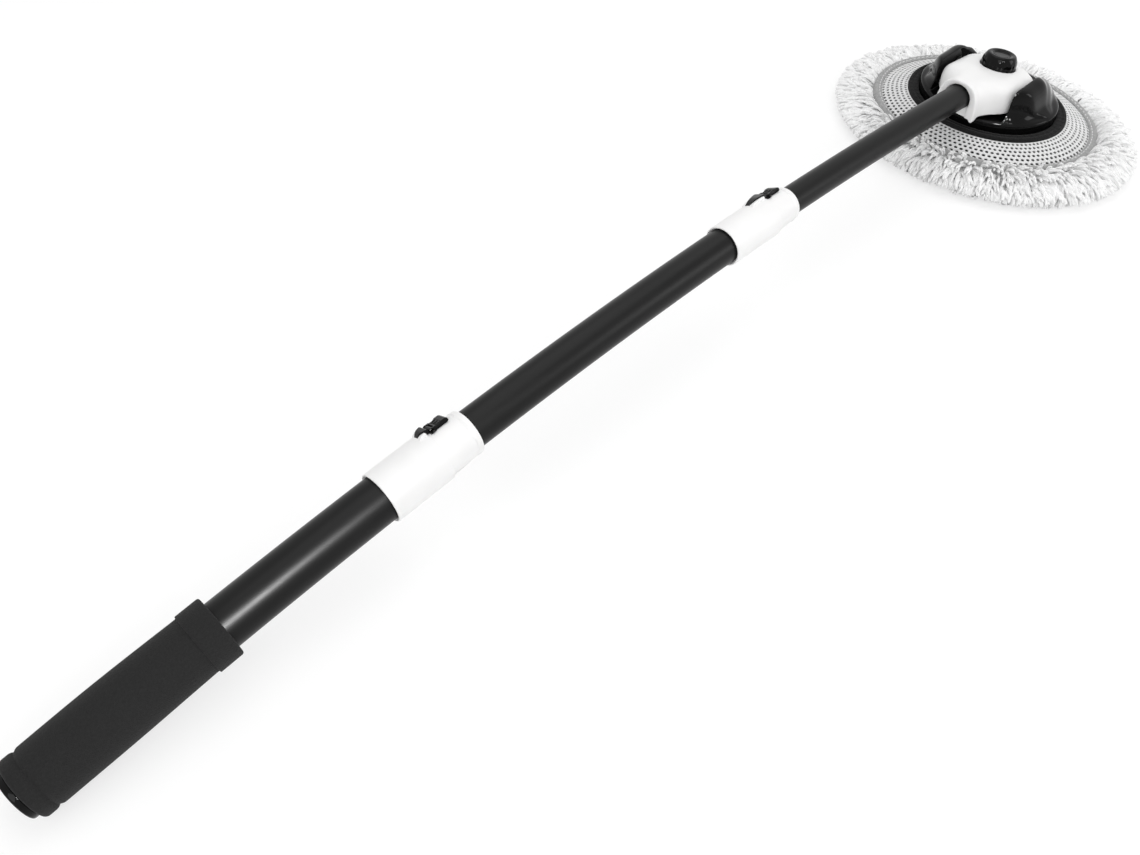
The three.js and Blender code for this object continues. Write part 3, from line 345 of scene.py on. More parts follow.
def through(points, count):
    """A smooth line through the points, as count points."""
    points = np.array(points, float)
    padded = np.vstack([2 * points[0] - points[1], points, 2 * points[-1] - points[-2]])
    places = np.linspace(0, len(points) - 1, count)
    index = np.minimum(places.astype(int), len(points) - 2)
    t = (places - index)[:, None]
    a, b, c, d = (padded[index + k] for k in range(4))
    return (2 * b + (c - a) * t + (2 * a - 5 * b + 4 * c - d) * t**2 + (3 * b - a - 3 * c + d) * t**3) / 2


def rotated(form, angle, start, end):
    """Turns a form from one axis towards another. X, Y and Z are 0, 1 and 2."""
    points = form[0].copy()
    a, b = form[0][:, start], form[0][:, end]
    points[:, start] = a * math.cos(angle) - b * math.sin(angle)
    points[:, end] = a * math.sin(angle) + b * math.cos(angle)
    return points, form[1]


def turned_about_x(form, angle):
    return rotated(form, angle, 1, 2)


def leaned(form):
    """Leans a form on the tilt axle back with the button."""
    return rotated(form, BUTTON_TILT, 2, 0)


def raised(form, height):
    return form[0] + np.array([0, 0, height]), form[1]


SOCKET_ANGLE = math.asin((SOCKET_X - BOW_CENTRE[0]) / BOW_RADIUS)


def bowed(form):
    """Bends a form made straight along X, with X = -station, onto the pole's bow."""
    points, faces = form
    x, y, z = points.T
    angle = SOCKET_ANGLE + x / BOW_RADIUS
    reach = BOW_RADIUS + z
    bent = [BOW_CENTRE[0] + reach * np.sin(angle), y, BOW_CENTRE[2] + reach * np.cos(angle)]
    return np.stack(bent, axis=1), faces


# Blender meshes from forms
def mesh_of(form, name="form", scale=1):
    mesh = bpy.data.meshes.new(name)
    mesh.from_pydata((form[0] * scale).tolist(), [], form[1])
    shape = bmesh.new()
    shape.from_mesh(mesh)
    bmesh.ops.remove_doubles(shape, verts=shape.verts, dist=MERGE * scale)
    bmesh.ops.recalc_face_normals(shape, faces=shape.faces)
    shape.to_mesh(mesh)
    shape.free()
    return mesh


def in_scene(name, data):
    made = bpy.data.objects.new(name, data)
    bpy.context.scene.collection.objects.link(made)
    return made


def object_of(form):
    return in_scene("form", mesh_of(form))


def form_of(thing):
    """The form of an object with its modifiers on. The object goes."""
    made = thing.evaluated_get(bpy.context.evaluated_depsgraph_get()).to_mesh()
    points = np.zeros(len(made.vertices) * 3)
    made.vertices.foreach_get("co", points)
    faces = [tuple(face.vertices) for face in made.polygons]
    thing.to_mesh_clear()
    bpy.data.objects.remove(thing)
    return points.reshape(-1, 3), faces


def combined(operation, base, tools):
    for tool in tools:
        whole, other = object_of(base), object_of(tool)
        step = whole.modifiers.new("step", "BOOLEAN")
        step.operation, step.solver, step.object = operation, "MANIFOLD", other
        base = form_of(whole)
        bpy.data.objects.remove(other)
    return base


def cut(base, *tools):
    return combined("DIFFERENCE", base, tools)


def join(base, *more):
    return combined("UNION", base, more)


def moulded(form, voxel, rounds):
    """One even skin round a solid, its edges eased as on a moulding."""
    thing = object_of(form)
    skin = thing.modifiers.new("skin", "REMESH")
    skin.mode, skin.voxel_size = "VOXEL", voxel
    ease = thing.modifiers.new("ease", "SMOOTH")
    ease.factor, ease.iterations = SMOOTH_FACTOR, rounds
    return form_of(thing)


def piece(name, form, look, body, slot, *replaced):
    """Shows a form as a named piece that rides on a body and stands for the CAD nodes it replaces."""
    mesh = mesh_of(form, name, MM)
    mesh.materials.append(look)
    mesh.polygons.foreach_set("use_smooth", [True] * len(mesh.polygons))
    mesh.set_sharp_from_angle(angle=SHARP_ANGLE)
    made = in_scene(name, mesh)
    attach(made, body)
    if replaced:
        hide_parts(*replaced)
    return made


# Materials
WAVE_FACTOR = 20  # the wave texture turns this many radians in one unit


def grey(level, warmth):
    return (level * (1 + warmth), level, level * (1 - warmth), 1)


class Look:
    """A procedural material: its tone, its roughness and its relief each come from nodes."""

    def __init__(self, name, roughness, **constants):
        self.material = bpy.data.materials.new(name)
        self.material.use_nodes = True
        self.tree = self.material.node_tree
        self.shader = self.tree.nodes["Principled BSDF"]
        self.shader.inputs["Roughness"].default_value = roughness
        for socket, value in constants.items():
            self.shader.inputs[socket.replace("_", " ")].default_value = value
        self.place = self.node("ShaderNodeTexCoord").outputs["Object"]
        self.height = None

    def node(self, kind, **settings):
        made = self.tree.nodes.new(kind)
        for name, value in settings.items():
            setattr(made, name, value)
        return made

    def link(self, start, end):
        self.tree.links.new(start, end)

    def stretched(self, scale):
        mapping = self.node("ShaderNodeMapping")
        mapping.inputs["Scale"].default_value = scale
        self.link(self.place, mapping.inputs["Vector"])
        return mapping.outputs["Vector"]

    def texture(self, kind, size, place, **settings):
        """A pattern with features of about size millimetres."""
        made = self.node(kind, **settings)
        made.inputs["Scale"].default_value = 1 / (size * MM)
        self.link(place, made.inputs["Vector"])
        return made

    def noise(self, size, detail=4, scale=(1, 1, 1)):
        made = self.texture("ShaderNodeTexNoise", size, self.stretched(scale))
        made.inputs["Detail"].default_value = detail
        return made.outputs["Fac"]

    def cells(self, size):
        return self.texture("ShaderNodeTexVoronoi", size, self.place).outputs["Distance"]

    def bands(self, pitch, direction, distortion):
        size = WAVE_FACTOR * pitch / TAU
        made = self.texture("ShaderNodeTexWave", size, self.place, bands_direction=direction)
        made.inputs["Distortion"].default_value = distortion
        return made.outputs["Fac"]

    def tone(self, fac, dark, light, low=0.3, high=0.7, warmth=0.0):
        """Greys from dark to light between the places low and high of the pattern."""
        ramp = self.node("ShaderNodeValToRGB")
        first, last = ramp.color_ramp.elements
        first.position, first.color = low, grey(dark, warmth)
        last.position, last.color = high, grey(light, warmth)
        self.link(fac, ramp.inputs["Fac"])
        self.link(ramp.outputs["Color"], self.shader.inputs["Base Color"])

    def rough(self, fac, low, high):
        ranged = self.node("ShaderNodeMapRange")
        ranged.inputs["To Min"].default_value, ranged.inputs["To Max"].default_value = low, high
        self.link(fac, ranged.inputs["Value"])
        self.link(ranged.outputs["Result"], self.shader.inputs["Roughness"])

    def relief(self, fac, depth):
        """Adds a bump of depth millimetres on top of those before it."""
        bump = self.node("ShaderNodeBump")
        bump.inputs["Distance"].default_value = depth * MM
        bump.inputs["Strength"].default_value = 1
        self.link(fac, bump.inputs["Height"])
        if self.height:
            self.link(self.height, bump.inputs["Normal"])
        self.height = bump.outputs["Normal"]
        self.link(self.height, self.shader.inputs["Normal"])


def satin_black():
    look = Look("satin_black", 0.36, Specular_IOR_Level=0.17)
    look.tone(look.noise(9, 3, (0.2, 1, 1)), 0.004, 0.0065)
    look.rough(look.noise(1.5, 5, (0.15, 1, 1)), 0.3, 0.4)
    look.relief(look.noise(0.5, 3, (0.1, 1, 1)), 0.012)
    return look.material


def foam_black():
    look = Look("foam_black", 0.92, Specular_IOR_Level=0.2, Sheen_Weight=0.05)
    look.tone(look.noise(1.2, 6), 0.006, 0.011)
    look.rough(look.noise(0.8), 0.85, 0.98)
    look.relief(look.cells(0.55), 0.22)
    look.relief(look.noise(2.2, 3), 0.12)
    return look.material


def gloss_black():
    look = Look("gloss_black", 0.05, Specular_IOR_Level=0.13)
    look.tone(look.noise(14, 3), 0.002, 0.0036)
    look.rough(look.noise(3, 5), 0.035, 0.065)
    look.relief(look.noise(7, 2), 0.012)
    return look.material


def moulded_black():
    look = Look("moulded_black", 0.5, Specular_IOR_Level=0.35)
    look.tone(look.noise(6), 0.006, 0.01)
    look.rough(look.noise(1.2), 0.42, 0.6)
    look.relief(look.noise(0.5), 0.03)
    return look.material


def white_plastic():
    look = Look("white_plastic", 0.38, Specular_IOR_Level=0.4)
    look.tone(look.noise(18), 0.86, 0.89, warmth=0.003)
    look.rough(look.noise(2), 0.32, 0.46)
    look.relief(look.noise(0.6), 0.012)
    return look.material


def brake_rubber():
    look = Look("brake_rubber", 0.85)
    look.tone(look.noise(2), 0.018, 0.03)
    look.relief(look.noise(0.8), 0.05)
    return look.material


def dark_steel():
    look = Look("dark_steel", 0.4, Metallic=1.0)
    look.tone(look.noise(3, 3), 0.02, 0.035)
    look.rough(look.noise(0.8, 5, (1, 0.2, 1)), 0.32, 0.5)
    return look.material


def bright_steel():
    look = Look("bright_steel", 0.3, Metallic=1.0)
    look.tone(look.noise(3, 3), 0.42, 0.52)
    look.rough(look.noise(0.8, 5, (1, 0.2, 1)), 0.22, 0.4)
    return look.material


def mesh_fabric():
    look = Look("mesh_fabric", 0.85, Specular_IOR_Level=0.25, Sheen_Weight=0.25)
    look.tone(look.noise(1.1, 5), 0.71, 0.87)
    look.relief(look.bands(0.55, "DIAGONAL", 1.5), 0.12)
    look.relief(look.noise(0.35), 0.08)
    return look.material


def hem_fabric():
    look = Look("hem_fabric", 0.95, Specular_IOR_Level=0.15, Sheen_Weight=0.08)
    look.tone(look.noise(1.4, 5), 0.004, 0.009)
    look.relief(look.bands(0.7, "Z", 2.0), 0.15)
    look.relief(look.noise(0.5), 0.15)
    return look.material


def binding_fabric():
    look = Look("binding_fabric", 0.9, Specular_IOR_Level=0.2, Sheen_Weight=0.2)
    look.tone(look.noise(2.5, 5), 0.31, 0.42)
    look.relief(look.bands(0.6, "DIAGONAL", 1.0), 0.12)
    look.relief(look.noise(0.4), 0.08)
    return look.material


def pad_foam():
    look = Look("pad_foam", 0.95)
    look.tone(look.cells(1.1), 0.62, 0.45, 0.1, 0.8, warmth=0.03)
    look.relief(look.cells(1.1), 0.3)
    return look.material


def chenille():
    look = Look("chenille", 0.95, Specular_IOR_Level=0.15, Sheen_Weight=0.35, Sheen_Roughness=0.6)
    look.tone(look.noise(2.6, 5), 0.86, 0.96, 0.3, 0.62)
    look.relief(look.noise(0.5), 0.1)
    look.relief(look.cells(0.7), 0.08)
    return look.material


# The backing's grey, far darker than the tufts' own, is painted shade that stands in for the dark gaps
# between the tufts.
def painted_shade_backing():
    look = Look("painted_shade_backing", 0.95, Specular_IOR_Level=0.15)
    look.tone(look.noise(1.8, 5), 0.46, 0.6)
    look.relief(look.bands(0.8, "DIAGONAL", 1.5), 0.12)
    return look.material


SATIN, FOAM, GLOSS, MATTE = satin_black(), foam_black(), gloss_black(), moulded_black()
WHITE, RUBBER, STEEL, MESH = white_plastic(), brake_rubber(), bright_steel(), mesh_fabric()
HEM, BINDING, CORE, CHENILLE = hem_fabric(), binding_fabric(), pad_foam(), chenille()
PIN, PAINTED_SHADE_BACKING = dark_steel(), painted_shade_backing()

# Plain CAD nodes take the look whose word is in their name
NODE_LOOKS = {
    MATTE: ["bush", "brake_bar", "base_plate", "axle_saddle", "thrust_washer"],
    RUBBER: ["brake_shoe"],
    PIN: ["lever_pin"],
    STEEL: ["screw", "button_spring", "tilt_axle", "brake_drum"],
    WHITE: ["bracket_keeper"],
}


def finish_cad_nodes():
    for (look, words), (name, node) in product(NODE_LOOKS.items(), frame["nodes"].items()):
        if any(word in name for word in words):
            node.data.materials.clear()
            node.data.materials.append(look)


# Pole
def tube_profile(outer, start, end):
    inner = outer - TUBE_WALL
    return eased([
        (-start, outer, TUBE_END_ROUND), (-end, outer, TUBE_END_ROUND),
        (-end, inner), (-start, inner),
    ])


def add_tube(part, body, *sizes):
    form = bowed(turned_on_x(tube_profile(*sizes)))
    piece(part + "_pole", form, SATIN, body, "tube_black", part + "_tube")


def add_tubes():
    add_tube("outer", "handle", OUTER_TUBE, LOWER_SEAM + SEAM_ROOM, GRIP_END)
    add_tube("middle", "middle_section", MIDDLE_TUBE, UPPER_SEAM + SEAM_ROOM, LOWER_SEAM + TUBE_OVERLAP)
    add_tube("front", "front_section", FRONT_TUBE, -TUBE_IN_BRACKET, UPPER_SEAM + TUBE_OVERLAP)


def add_grip():
    top, low = -GRIP_START, -GRIP_END
    collar_low = top - GRIP_COLLAR_LENGTH
    middle = (collar_low + low) / 2
    bead_top, end = low + GRIP_BEAD_LENGTH, low - GRIP_OVERHANG
    sleeve = eased([
        (top, GRIP_BORE),
        (top, GRIP_COLLAR, 1.6),
        (collar_low, GRIP_COLLAR, 0.7),
        (collar_low, GRIP_RADIUS, 0.5),
        (middle, GRIP_RADIUS + GRIP_SWELL, 20),
        (bead_top + GRIP_GROOVE, GRIP_RADIUS + GRIP_SWELL / 2, 1),
        (bead_top, GRIP_RADIUS - GRIP_SWELL, 0.5),
        (bead_top - BEAD_SLOPE, GRIP_BEAD, 1.2),
        (end, GRIP_BEAD, 2.5),
        (end, GRIP_BORE),
    ], GRIP_STEPS)
    grip = piece("grip_sleeve", bowed(turned_on_x(sleeve)), FOAM, "handle", "grip_foam", "grip_foam")


def add_end_cap():
    face = -GRIP_END - CAP_STAND
    back = face - CAP_THICKNESS
    cap = eased([
        (back + CAP_DISH, 0),
        (back + CAP_DISH, CAP_RING, 0.6),
        (back, CAP_RING + 1, 0.4),
        *[(back + CAP_DISH * depth, CAP_RADIUS - inwards, ease) for depth, inwards, ease in CAP_GROOVE],
        (back, CAP_RADIUS, 1.3),
        (face, CAP_RADIUS, 0.3),
        (face, CAP_PLUG),
        (face + CAP_PLUG_LENGTH, CAP_PLUG, 0.4),
        (face + CAP_PLUG_LENGTH, CAP_PLUG - CAP_PLUG_WALL),
        (face, CAP_PLUG - CAP_PLUG_WALL),
        (face, 0),
    ])
    piece("end_plug", bowed(turned_on_x(cap)), GLOSS, "handle", "gloss_black", "end_cap")


class Collar:
    """Sizes of one clamp collar, made straight with its lever on top."""

    def __init__(self, carrier, sliding, seam, length, nose, foot, slit):
        self.bore = carrier + CLEARANCE
        self.outer = self.bore + COLLAR_WALL
        self.sliding = sliding
        self.nose_outer = self.outer - NOSE_STEP
        self.nose_bore = sliding + BUSH_ROOM
        self.mouth_radius = sliding + MOUTH_WALL
        self.pin_height = sliding + CLEARANCE + SHOE_THICKNESS + CLEARANCE + LOBE_RADIUS
        self.seam = -seam
        self.low = -seam - length
        self.foot = foot
        self.slit = slit
        self.mouth = -seam + nose
        self.pivot = -seam + PIVOT_INSET
        self.arm_low = self.pin_height - LEVER_DROP


def on_pole(form):
    return bowed(turned_about_x(form, LEVER_TURN))


def hump(c, front, rise, width):
    """A low hump on the sleeve, from its front backwards to the end of the lever's foot."""
    back = c.seam - BOSS_INSET - c.foot
    sink, top = c.outer - COLLAR_WALL / 2, c.outer + rise
    slope = (back + c.foot * HUMP_SLOPE_SHARE, top, c.foot * HUMP_ROUND_SHARE)
    outline = eased([
        (front, sink), (front, top, 1.1), slope, (back, c.outer, 0.5), (back, sink),
    ], FINE_STEPS)
    return extruded(outline, width / 2)


def collar_sleeve(c):
    sleeve = turned_on_x(eased([
        (c.seam, c.bore),
        (c.seam, c.outer, 0.5),
        (c.low, c.outer, 0.9),
        (c.low, c.bore + COLLAR_CHAMFER, 0.3),
        (c.low + COLLAR_CHAMFER, c.bore),
    ]))
    boss = moulded(hump(c, c.seam - BOSS_INSET, BOSS_RISE, BOSS_WIDTH), FOOT_VOXEL, FOOT_ROUNDS)
    return join(sleeve, boss)


def nose_solid(c):
    start, taper, rim = c.seam + CLEARANCE, c.mouth - NOSE_TAPER, c.mouth - RIM_LENGTH
    rim_radius = c.nose_outer + (c.mouth_radius - c.nose_outer) * (1 - RIM_LENGTH / NOSE_TAPER)
    lip = c.sliding + CLEARANCE
    return turned_on_x(eased([
        (start, c.nose_bore),
        (start, c.nose_outer, 0.3),
        (taper, c.nose_outer, 8),
        (rim, rim_radius, 0.3),
        (rim + RIM_STEP, rim_radius + RIM_RISE, 0.2),
        (c.mouth, c.mouth_radius + RIM_RISE, 0.5),
        (c.mouth, lip + LIP_CHAMFER, 0.2),
        (c.mouth - COLLAR_CHAMFER, lip),
        (c.mouth - LIP_LENGTH, lip),
        (c.mouth - LIP_LENGTH, c.nose_bore),
    ]))


def collar_nose(c):
    half_lug = LUG_WIDTH / 2
    slot_end = half_lug + LOBE_WIDTH + 2 * CLEARANCE
    reach = LOBE_RADIUS + CLEARANCE
    above = c.pin_height + LOBE_RADIUS + OVERRUN
    land = block(c.pivot - reach, c.pivot + LEVER_REACH + OVERRUN, -slot_end, slot_end,
                 c.arm_low - CLEARANCE, above)
    slots = [block(c.pivot - reach, c.pivot + reach, side * half_lug, side * slot_end, c.sliding, above)
             for side in (1, -1)]
    slit_start = c.seam + SLIT_INSET
    slit = block(slit_start, slit_start + c.slit, -SLIT_WIDTH / 2, SLIT_WIDTH / 2,
                 -c.outer - OVERRUN, -c.sliding - TUBE_ROOM)
    seat = block(c.pivot - LUG_REACH, c.pivot + LUG_REACH, -half_lug, half_lug,
                 c.nose_outer - LUG_SINK, above)
    return cut(nose_solid(c), land, *slots, seat, turned_about_x(slit, SLIT_TURN))


def lever_foot(c):
    """The black arch behind the lever, with the lug that holds its pin."""
    half_lug = LUG_WIDTH / 2 - LUG_PLAY
    points, faces = hump(c, c.seam + FOOT_FRONT, FOOT_RISE, FOOT_WIDTH)
    back = np.clip((c.seam - points[:, 0]) / c.foot, 0, 1)
    points[:, 1] *= 1 - (1 - FOOT_END_WIDTH / FOOT_WIDTH) * back
    arch = moulded((points, faces), FOOT_VOXEL, FOOT_ROUNDS)
    lug_box = block(c.seam - LUG_BACK, c.pivot + LUG_REACH, -half_lug, half_lug,
                    c.nose_outer - LUG_SINK, c.pin_height)
    lug_round = rod_on_y(LUG_REACH, -half_lug, half_lug, c.pivot, c.pin_height)
    hole = rod_on_y(PIN_RADIUS + CLEARANCE, -LUG_WIDTH, LUG_WIDTH, c.pivot, c.pin_height)
    return cut(join(arch, lug_box, lug_round), hole)


def lever_solid(c):
    inner = LUG_WIDTH / 2 + CLEARANCE
    outer = inner + LOBE_WIDTH
    low, top = c.arm_low, c.arm_low + LEVER_THICKNESS
    root, tip = c.pivot + LUG_REACH + CLEARANCE, c.pivot + LEVER_REACH
    arm = extruded([
        (root, low), (tip - LEVER_TOE[0], low), (tip, low + LEVER_TOE[1]),
        *[(tip - back, top + rise) for back, rise in LEVER_LIP],
        (root + LEVER_HEEL[0], top), (root, top + LEVER_HEEL[1]),
    ], LEVER_WIDTH / 2)
    bridge_end = root + LOBE_WIDTH / 2
    parts = [block(root, bridge_end, -outer, outer, low, top + BRIDGE_RISE)]
    for side in (1, -1):
        parts.append(rod_on_y(LOBE_RADIUS, side * inner, side * outer, c.pivot, c.pin_height))
        parts.append(block(c.pivot, bridge_end, side * inner, side * outer, low, top + CHEEK_RISE))
    for side in (1, 0, -1):
        middle, half = side * RIDGE_PITCH, RIDGE_WIDTH / 2
        parts.append(block(root + RIDGE_START, tip - RIDGE_END, middle - half, middle + half,
                           top - RIDGE_SINK, top + RIDGE_RISE))
    hole = rod_on_y(PIN_RADIUS + CLEARANCE, -outer - OVERRUN, outer + OVERRUN, c.pivot, c.pin_height)
    return cut(join(arm, *parts), hole)


def add_collar(prefix, body, c):
    own = f"{prefix}_lever"
    lever = moulded(lever_solid(c), LEVER_VOXEL, LEVER_ROUNDS)
    for name, form, node in (("sleeve", collar_sleeve(c), "body"), ("nose", collar_nose(c), "nose")):
        piece(f"{prefix}_{name}", on_pole(form), WHITE, body, "white_plastic", f"{prefix}_collar_{node}")
    piece(f"{prefix}_flip_lever", on_pole(lever), GLOSS, own, "gloss_black", own)
    piece(f"{prefix}_lever_foot", on_pole(lever_foot(c)), GLOSS, body, "gloss_black")


# Bracket: stations from its front to its rear, each [along, width, top] as shares
BRACKET_SHARES = [
    [0, 0, 1], [0.08, 0.03, 0.935], [0.157, 0.1, 0.87], [0.248, 0.38, 0.79], [0.327, 0.76, 0.73],
    [0.392, 0.97, 0.674], [0.458, 1, 0.62], [0.6, 1, 0.46], [0.745, 1, 0.287], [0.837, 1, 0.19],
    [0.889, 0.9, 0.13], [0.935, 0.66, 0.087], [0.974, 0.35, 0.02], [1, 0.1, -0.12],
]


def bracket_section(shares, inset, drop):
    along, wide, high = shares
    lifted = min(max((along - RISE_START) / RISE_SHARE, 0), 1) * UNDER_RISE
    wide = min(max(wide, 0), 1)
    x = -BRACKET_FRONT + (BRACKET_REAR + BRACKET_FRONT) * along
    half = NECK_HALF + (BRACKET_HALF - NECK_HALF) * wide - inset
    top = BRACKET_REAR_TOP + (BRACKET_TOP - BRACKET_REAR_TOP) * high - inset
    bottom = -BRACKET_UNDERSIDE - drop + lifted
    power = NECK_ROUNDNESS + (HUB_ROUNDNESS - NECK_ROUNDNESS) * min(1, 2 * wide)
    ring = []
    for index in range(ARCH_POINTS + 1):
        angle = math.pi * index / ARCH_POINTS
        across = math.copysign(abs(math.cos(angle)) ** power, math.cos(angle))
        ring.append((x, half * across, bottom + (top - bottom) * max(math.sin(angle), 0) ** power))
    return ring


def bracket_form(inset, drop, shares):
    return lofted([bracket_section(row, inset, drop) for row in shares])


def bracket_hollow(shares):
    length = BRACKET_FRONT + BRACKET_REAR
    start, end = (BRACKET_FRONT - HOLLOW_START) / length, 1 - BRACKET_WALL / length
    inside = [row for row in shares if start <= row[0] <= end]
    return bracket_form(BRACKET_WALL, OVERRUN, inside)


def in_head(form):
    """Bends a straight form near the socket and sets it in the tilt axle's frame."""
    return raised(bowed(form), -PIVOT_HEIGHT)


def bracket_lip():
    """The raised band round the tube's mouth, with a pointed tooth under each side."""
    rings = [bracket_section([along, 0, 1 - along * LIP_SLOPE], -rise, 0) for along, rise in LIP_RISES]
    front, outer, low = -BRACKET_FRONT, NECK_HALF + LIP_EDGE_RISE, -BRACKET_UNDERSIDE
    teeth = []
    for side in (1, -1):
        tooth = []
        for length, width, rise in TOOTH_ROOT, TOOTH_TIP:
            back, far, near, z = front + length, side * outer, side * (outer - width), low + rise
            tooth.append([(front, far, z), (back, far, z), (back, near, z), (front, near, z)])
        teeth.append(lofted(tooth[::side]))
    return lofted(rings), teeth


def leg_block(side, grow, bottom, top):
    near = side * (LEG_OFFSET - LEG_THICKNESS / 2 - grow)
    far = side * (LEG_OFFSET + LEG_THICKNESS / 2 + grow)
    half = LEG_WIDTH / 2 + grow
    return block(near, far, -half, half, bottom, top)


def bracket_body():
    """The shell with its button cup, axle hubs, lip and teeth, before the holes are cut."""
    shares = through(BRACKET_SHARES, BRACKET_SECTIONS)
    outside = bracket_form(0, 0, shares)
    lip, teeth = bracket_lip()
    cup = leaned(rod_on_z(BUTTON_RADIUS + POCKET_GAP + CUP_WALL, POCKET_FLOOR - CUP_FLOOR, BUTTON_SKIRT))
    cup = combined("INTERSECT", cup, [outside])
    inner = BRACKET_HALF - BRACKET_WALL
    hubs = [rod_on_y(HUB_RADIUS, side * (inner - HUB_LENGTH), side * (inner + BRACKET_WALL / 2))
            for side in (1, -1)]
    return join(cut(outside, bracket_hollow(shares)), cup, *hubs, lip, *teeth)


def bracket_cuts():
    """The tube's bore and the wider throat inside it, the keeper's channel, and the room for the button."""
    start, end = -2 * OVERRUN, TUBE_IN_BRACKET + CLEARANCE
    bore = turned_on_x([(start, 0), (start, SOCKET_BORE), (end, SOCKET_BORE), (end, 0)])
    throat = turned_on_x([
        (THROAT_BACK, 0), (THROAT_BACK, SOCKET_BORE + THROAT_RISE), (-THROAT_FRONT, SOCKET_BORE),
        (-THROAT_FRONT, 0),
    ])
    channel_top = BRACKET_TOP - NECK_CROWN - SOCKET_BORE - KEEPER_TOP + CLEARANCE
    channel = block(-BRACKET_FRONT - OVERRUN, -HOLLOW_START + OVERRUN, -SOCKET_BORE, SOCKET_BORE,
                    -BRACKET_UNDERSIDE - OVERRUN, channel_top)
    pocket = leaned(rod_on_z(BUTTON_RADIUS + POCKET_GAP, POCKET_FLOOR, BUTTON_TOP))
    axle = rod_on_y(AXLE_RADIUS + CLEARANCE, -EAR_INNER, EAR_INNER)
    legs = [leaned(leg_block(side, CLEARANCE, -BRACKET_UNDERSIDE, BUTTON_TOP)) for side in (1, -1)]
    return [in_head(bore), in_head(throat), channel, pocket, axle, *legs]


def add_bracket():
    solid = cut(bracket_body(), *bracket_cuts())
    form = raised(moulded(solid, BRACKET_VOXEL, BRACKET_ROUNDS), PIVOT_HEIGHT)
    piece("bracket", form, WHITE, "front_section", "white_plastic", "bracket_shell")


def scalloped(form):
    """Finger scallops round the button's skirt."""
    points, faces = form
    radius = np.hypot(points[:, 0], points[:, 1])
    angle = np.arctan2(points[:, 1], points[:, 0])
    low = np.clip((BUTTON_TOP - SCALLOP_START - points[:, 2]) / SCALLOP_LENGTH, 0, 1)
    low = low * (radius > BUTTON_TOP_RADIUS)
    share = 1 - SCALLOP_DEPTH * low * np.abs(np.sin(angle * SCALLOPS / 2)) ** SCALLOP_POWER
    return points * np.stack([share, share, np.ones_like(share)], axis=1), faces


def add_button():
    top, skirt = BUTTON_TOP, BUTTON_SKIRT
    inner_top, middle = top - BUTTON_DISH - BUTTON_WALL, (top + skirt) / 2
    cap = turned_on_z(eased([
        (0, top - BUTTON_DISH),
        *[(radius, top - depth, ease) for radius, depth, ease in BUTTON_RINGS],
        (BUTTON_TOP_RADIUS, top, 1.5),
        (SHOULDER_RADIUS, top - SHOULDER_DROP, 2.2),
        (BUTTON_RADIUS, middle, 2.5),
        (BUTTON_RADIUS, skirt, 0.5),
        (BUTTON_RADIUS - BUTTON_WALL, skirt, 0.5),
        (BUTTON_RADIUS - BUTTON_WALL, middle, 1),
        (BUTTON_TOP_RADIUS - BUTTON_WALL, inner_top, 1),
        (0, inner_top),
    ], FINE_STEPS), 1, TURN_SIDES)
    cap = scalloped(cap)
    legs = [leg_block(side, 0, LEG_BOTTOM, inner_top + BUTTON_WALL / 2) for side in (1, -1)]
    form = raised(leaned(join(cap, *legs)), PIVOT_HEIGHT)
    piece("button_cap", form, GLOSS, "push_button", "gloss_black", "push_button")


# Pivot housing: an ear's side outline from toe to heel, and how it falls away outwards
EAR_OUTLINE = [
    [-1, 0], [-0.89, 0.2], [-0.85, 0.39], [-0.84, 0.7], [-0.78, 0.92], [-0.68, 1], [-0.3, 1.01], [0.08, 1],
    [0.3, 0.84], [0.53, 0.67], [0.69, 0.49], [0.92, 0.2], [1, 0],
]
EAR_FALL = [
    [0, 1], [0.12, 0.995], [0.25, 0.96], [0.36, 0.885], [0.45, 0.77], [0.53, 0.61], [0.59, 0.43],
    [0.64, 0.28], [0.7, 0.19], [0.78, 0.14], [0.88, 0.09], [0.96, 0.03],
]


def ear(side):
    base, reach = TIER_TOP - TIER_ROUND, TIER_SEMI * EAR_BASE_SHARE
    along, up = through(EAR_OUTLINE, EAR_POINTS).T
    up = np.maximum(up, 0)
    rings = []
    for out, height in through(EAR_FALL, EAR_SECTIONS):
        y = EAR_INNER + (reach - EAR_INNER) * out
        half = reach * ASPECT * math.sqrt(1 - (y / TIER_SEMI) ** 2)
        x = along * half * (1 - EAR_ROUNDNESS * out**EAR_POWER * np.minimum(1, EAR_BLEND * up))
        z = base + up * height * EAR_HEIGHT + TIER_ROUND * np.minimum(1, FOOT_BLEND * up)
        rings.append(np.stack([x, np.full(EAR_POINTS, side * y), z], axis=1))
    return lofted(rings)


def housing_solid():
    bottom = PLATE_TOP + CLEARANCE - PIVOT_HEIGHT
    tier = turned_on_z(eased([
        (0, bottom), (TIER_SEMI, bottom), (TIER_SEMI, TIER_TOP, TIER_ROUND), (0, TIER_TOP),
    ], FINE_STEPS))
    tools = [rod_on_y(SWING_RADIUS, -EAR_INNER, EAR_INNER)]
    for side in (1, -1):
        ends = side * (EAR_INNER - OVERRUN), side * (EAR_INNER + SADDLE_DEPTH)
        tools.append(block(-SADDLE_HALF, SADDLE_HALF, *ends, bottom - OVERRUN, 0))
        tools.append(rod_on_y(SADDLE_HALF, *ends))
    return cut(join(tier, ear(1), ear(-1)), *tools)


def add_housing():
    form = raised(moulded(housing_solid(), HOUSING_VOXEL, HOUSING_ROUNDS), PIVOT_HEIGHT)
    piece("ear_housing", form, GLOSS, "mop_head", "gloss_black", "pivot_housing")


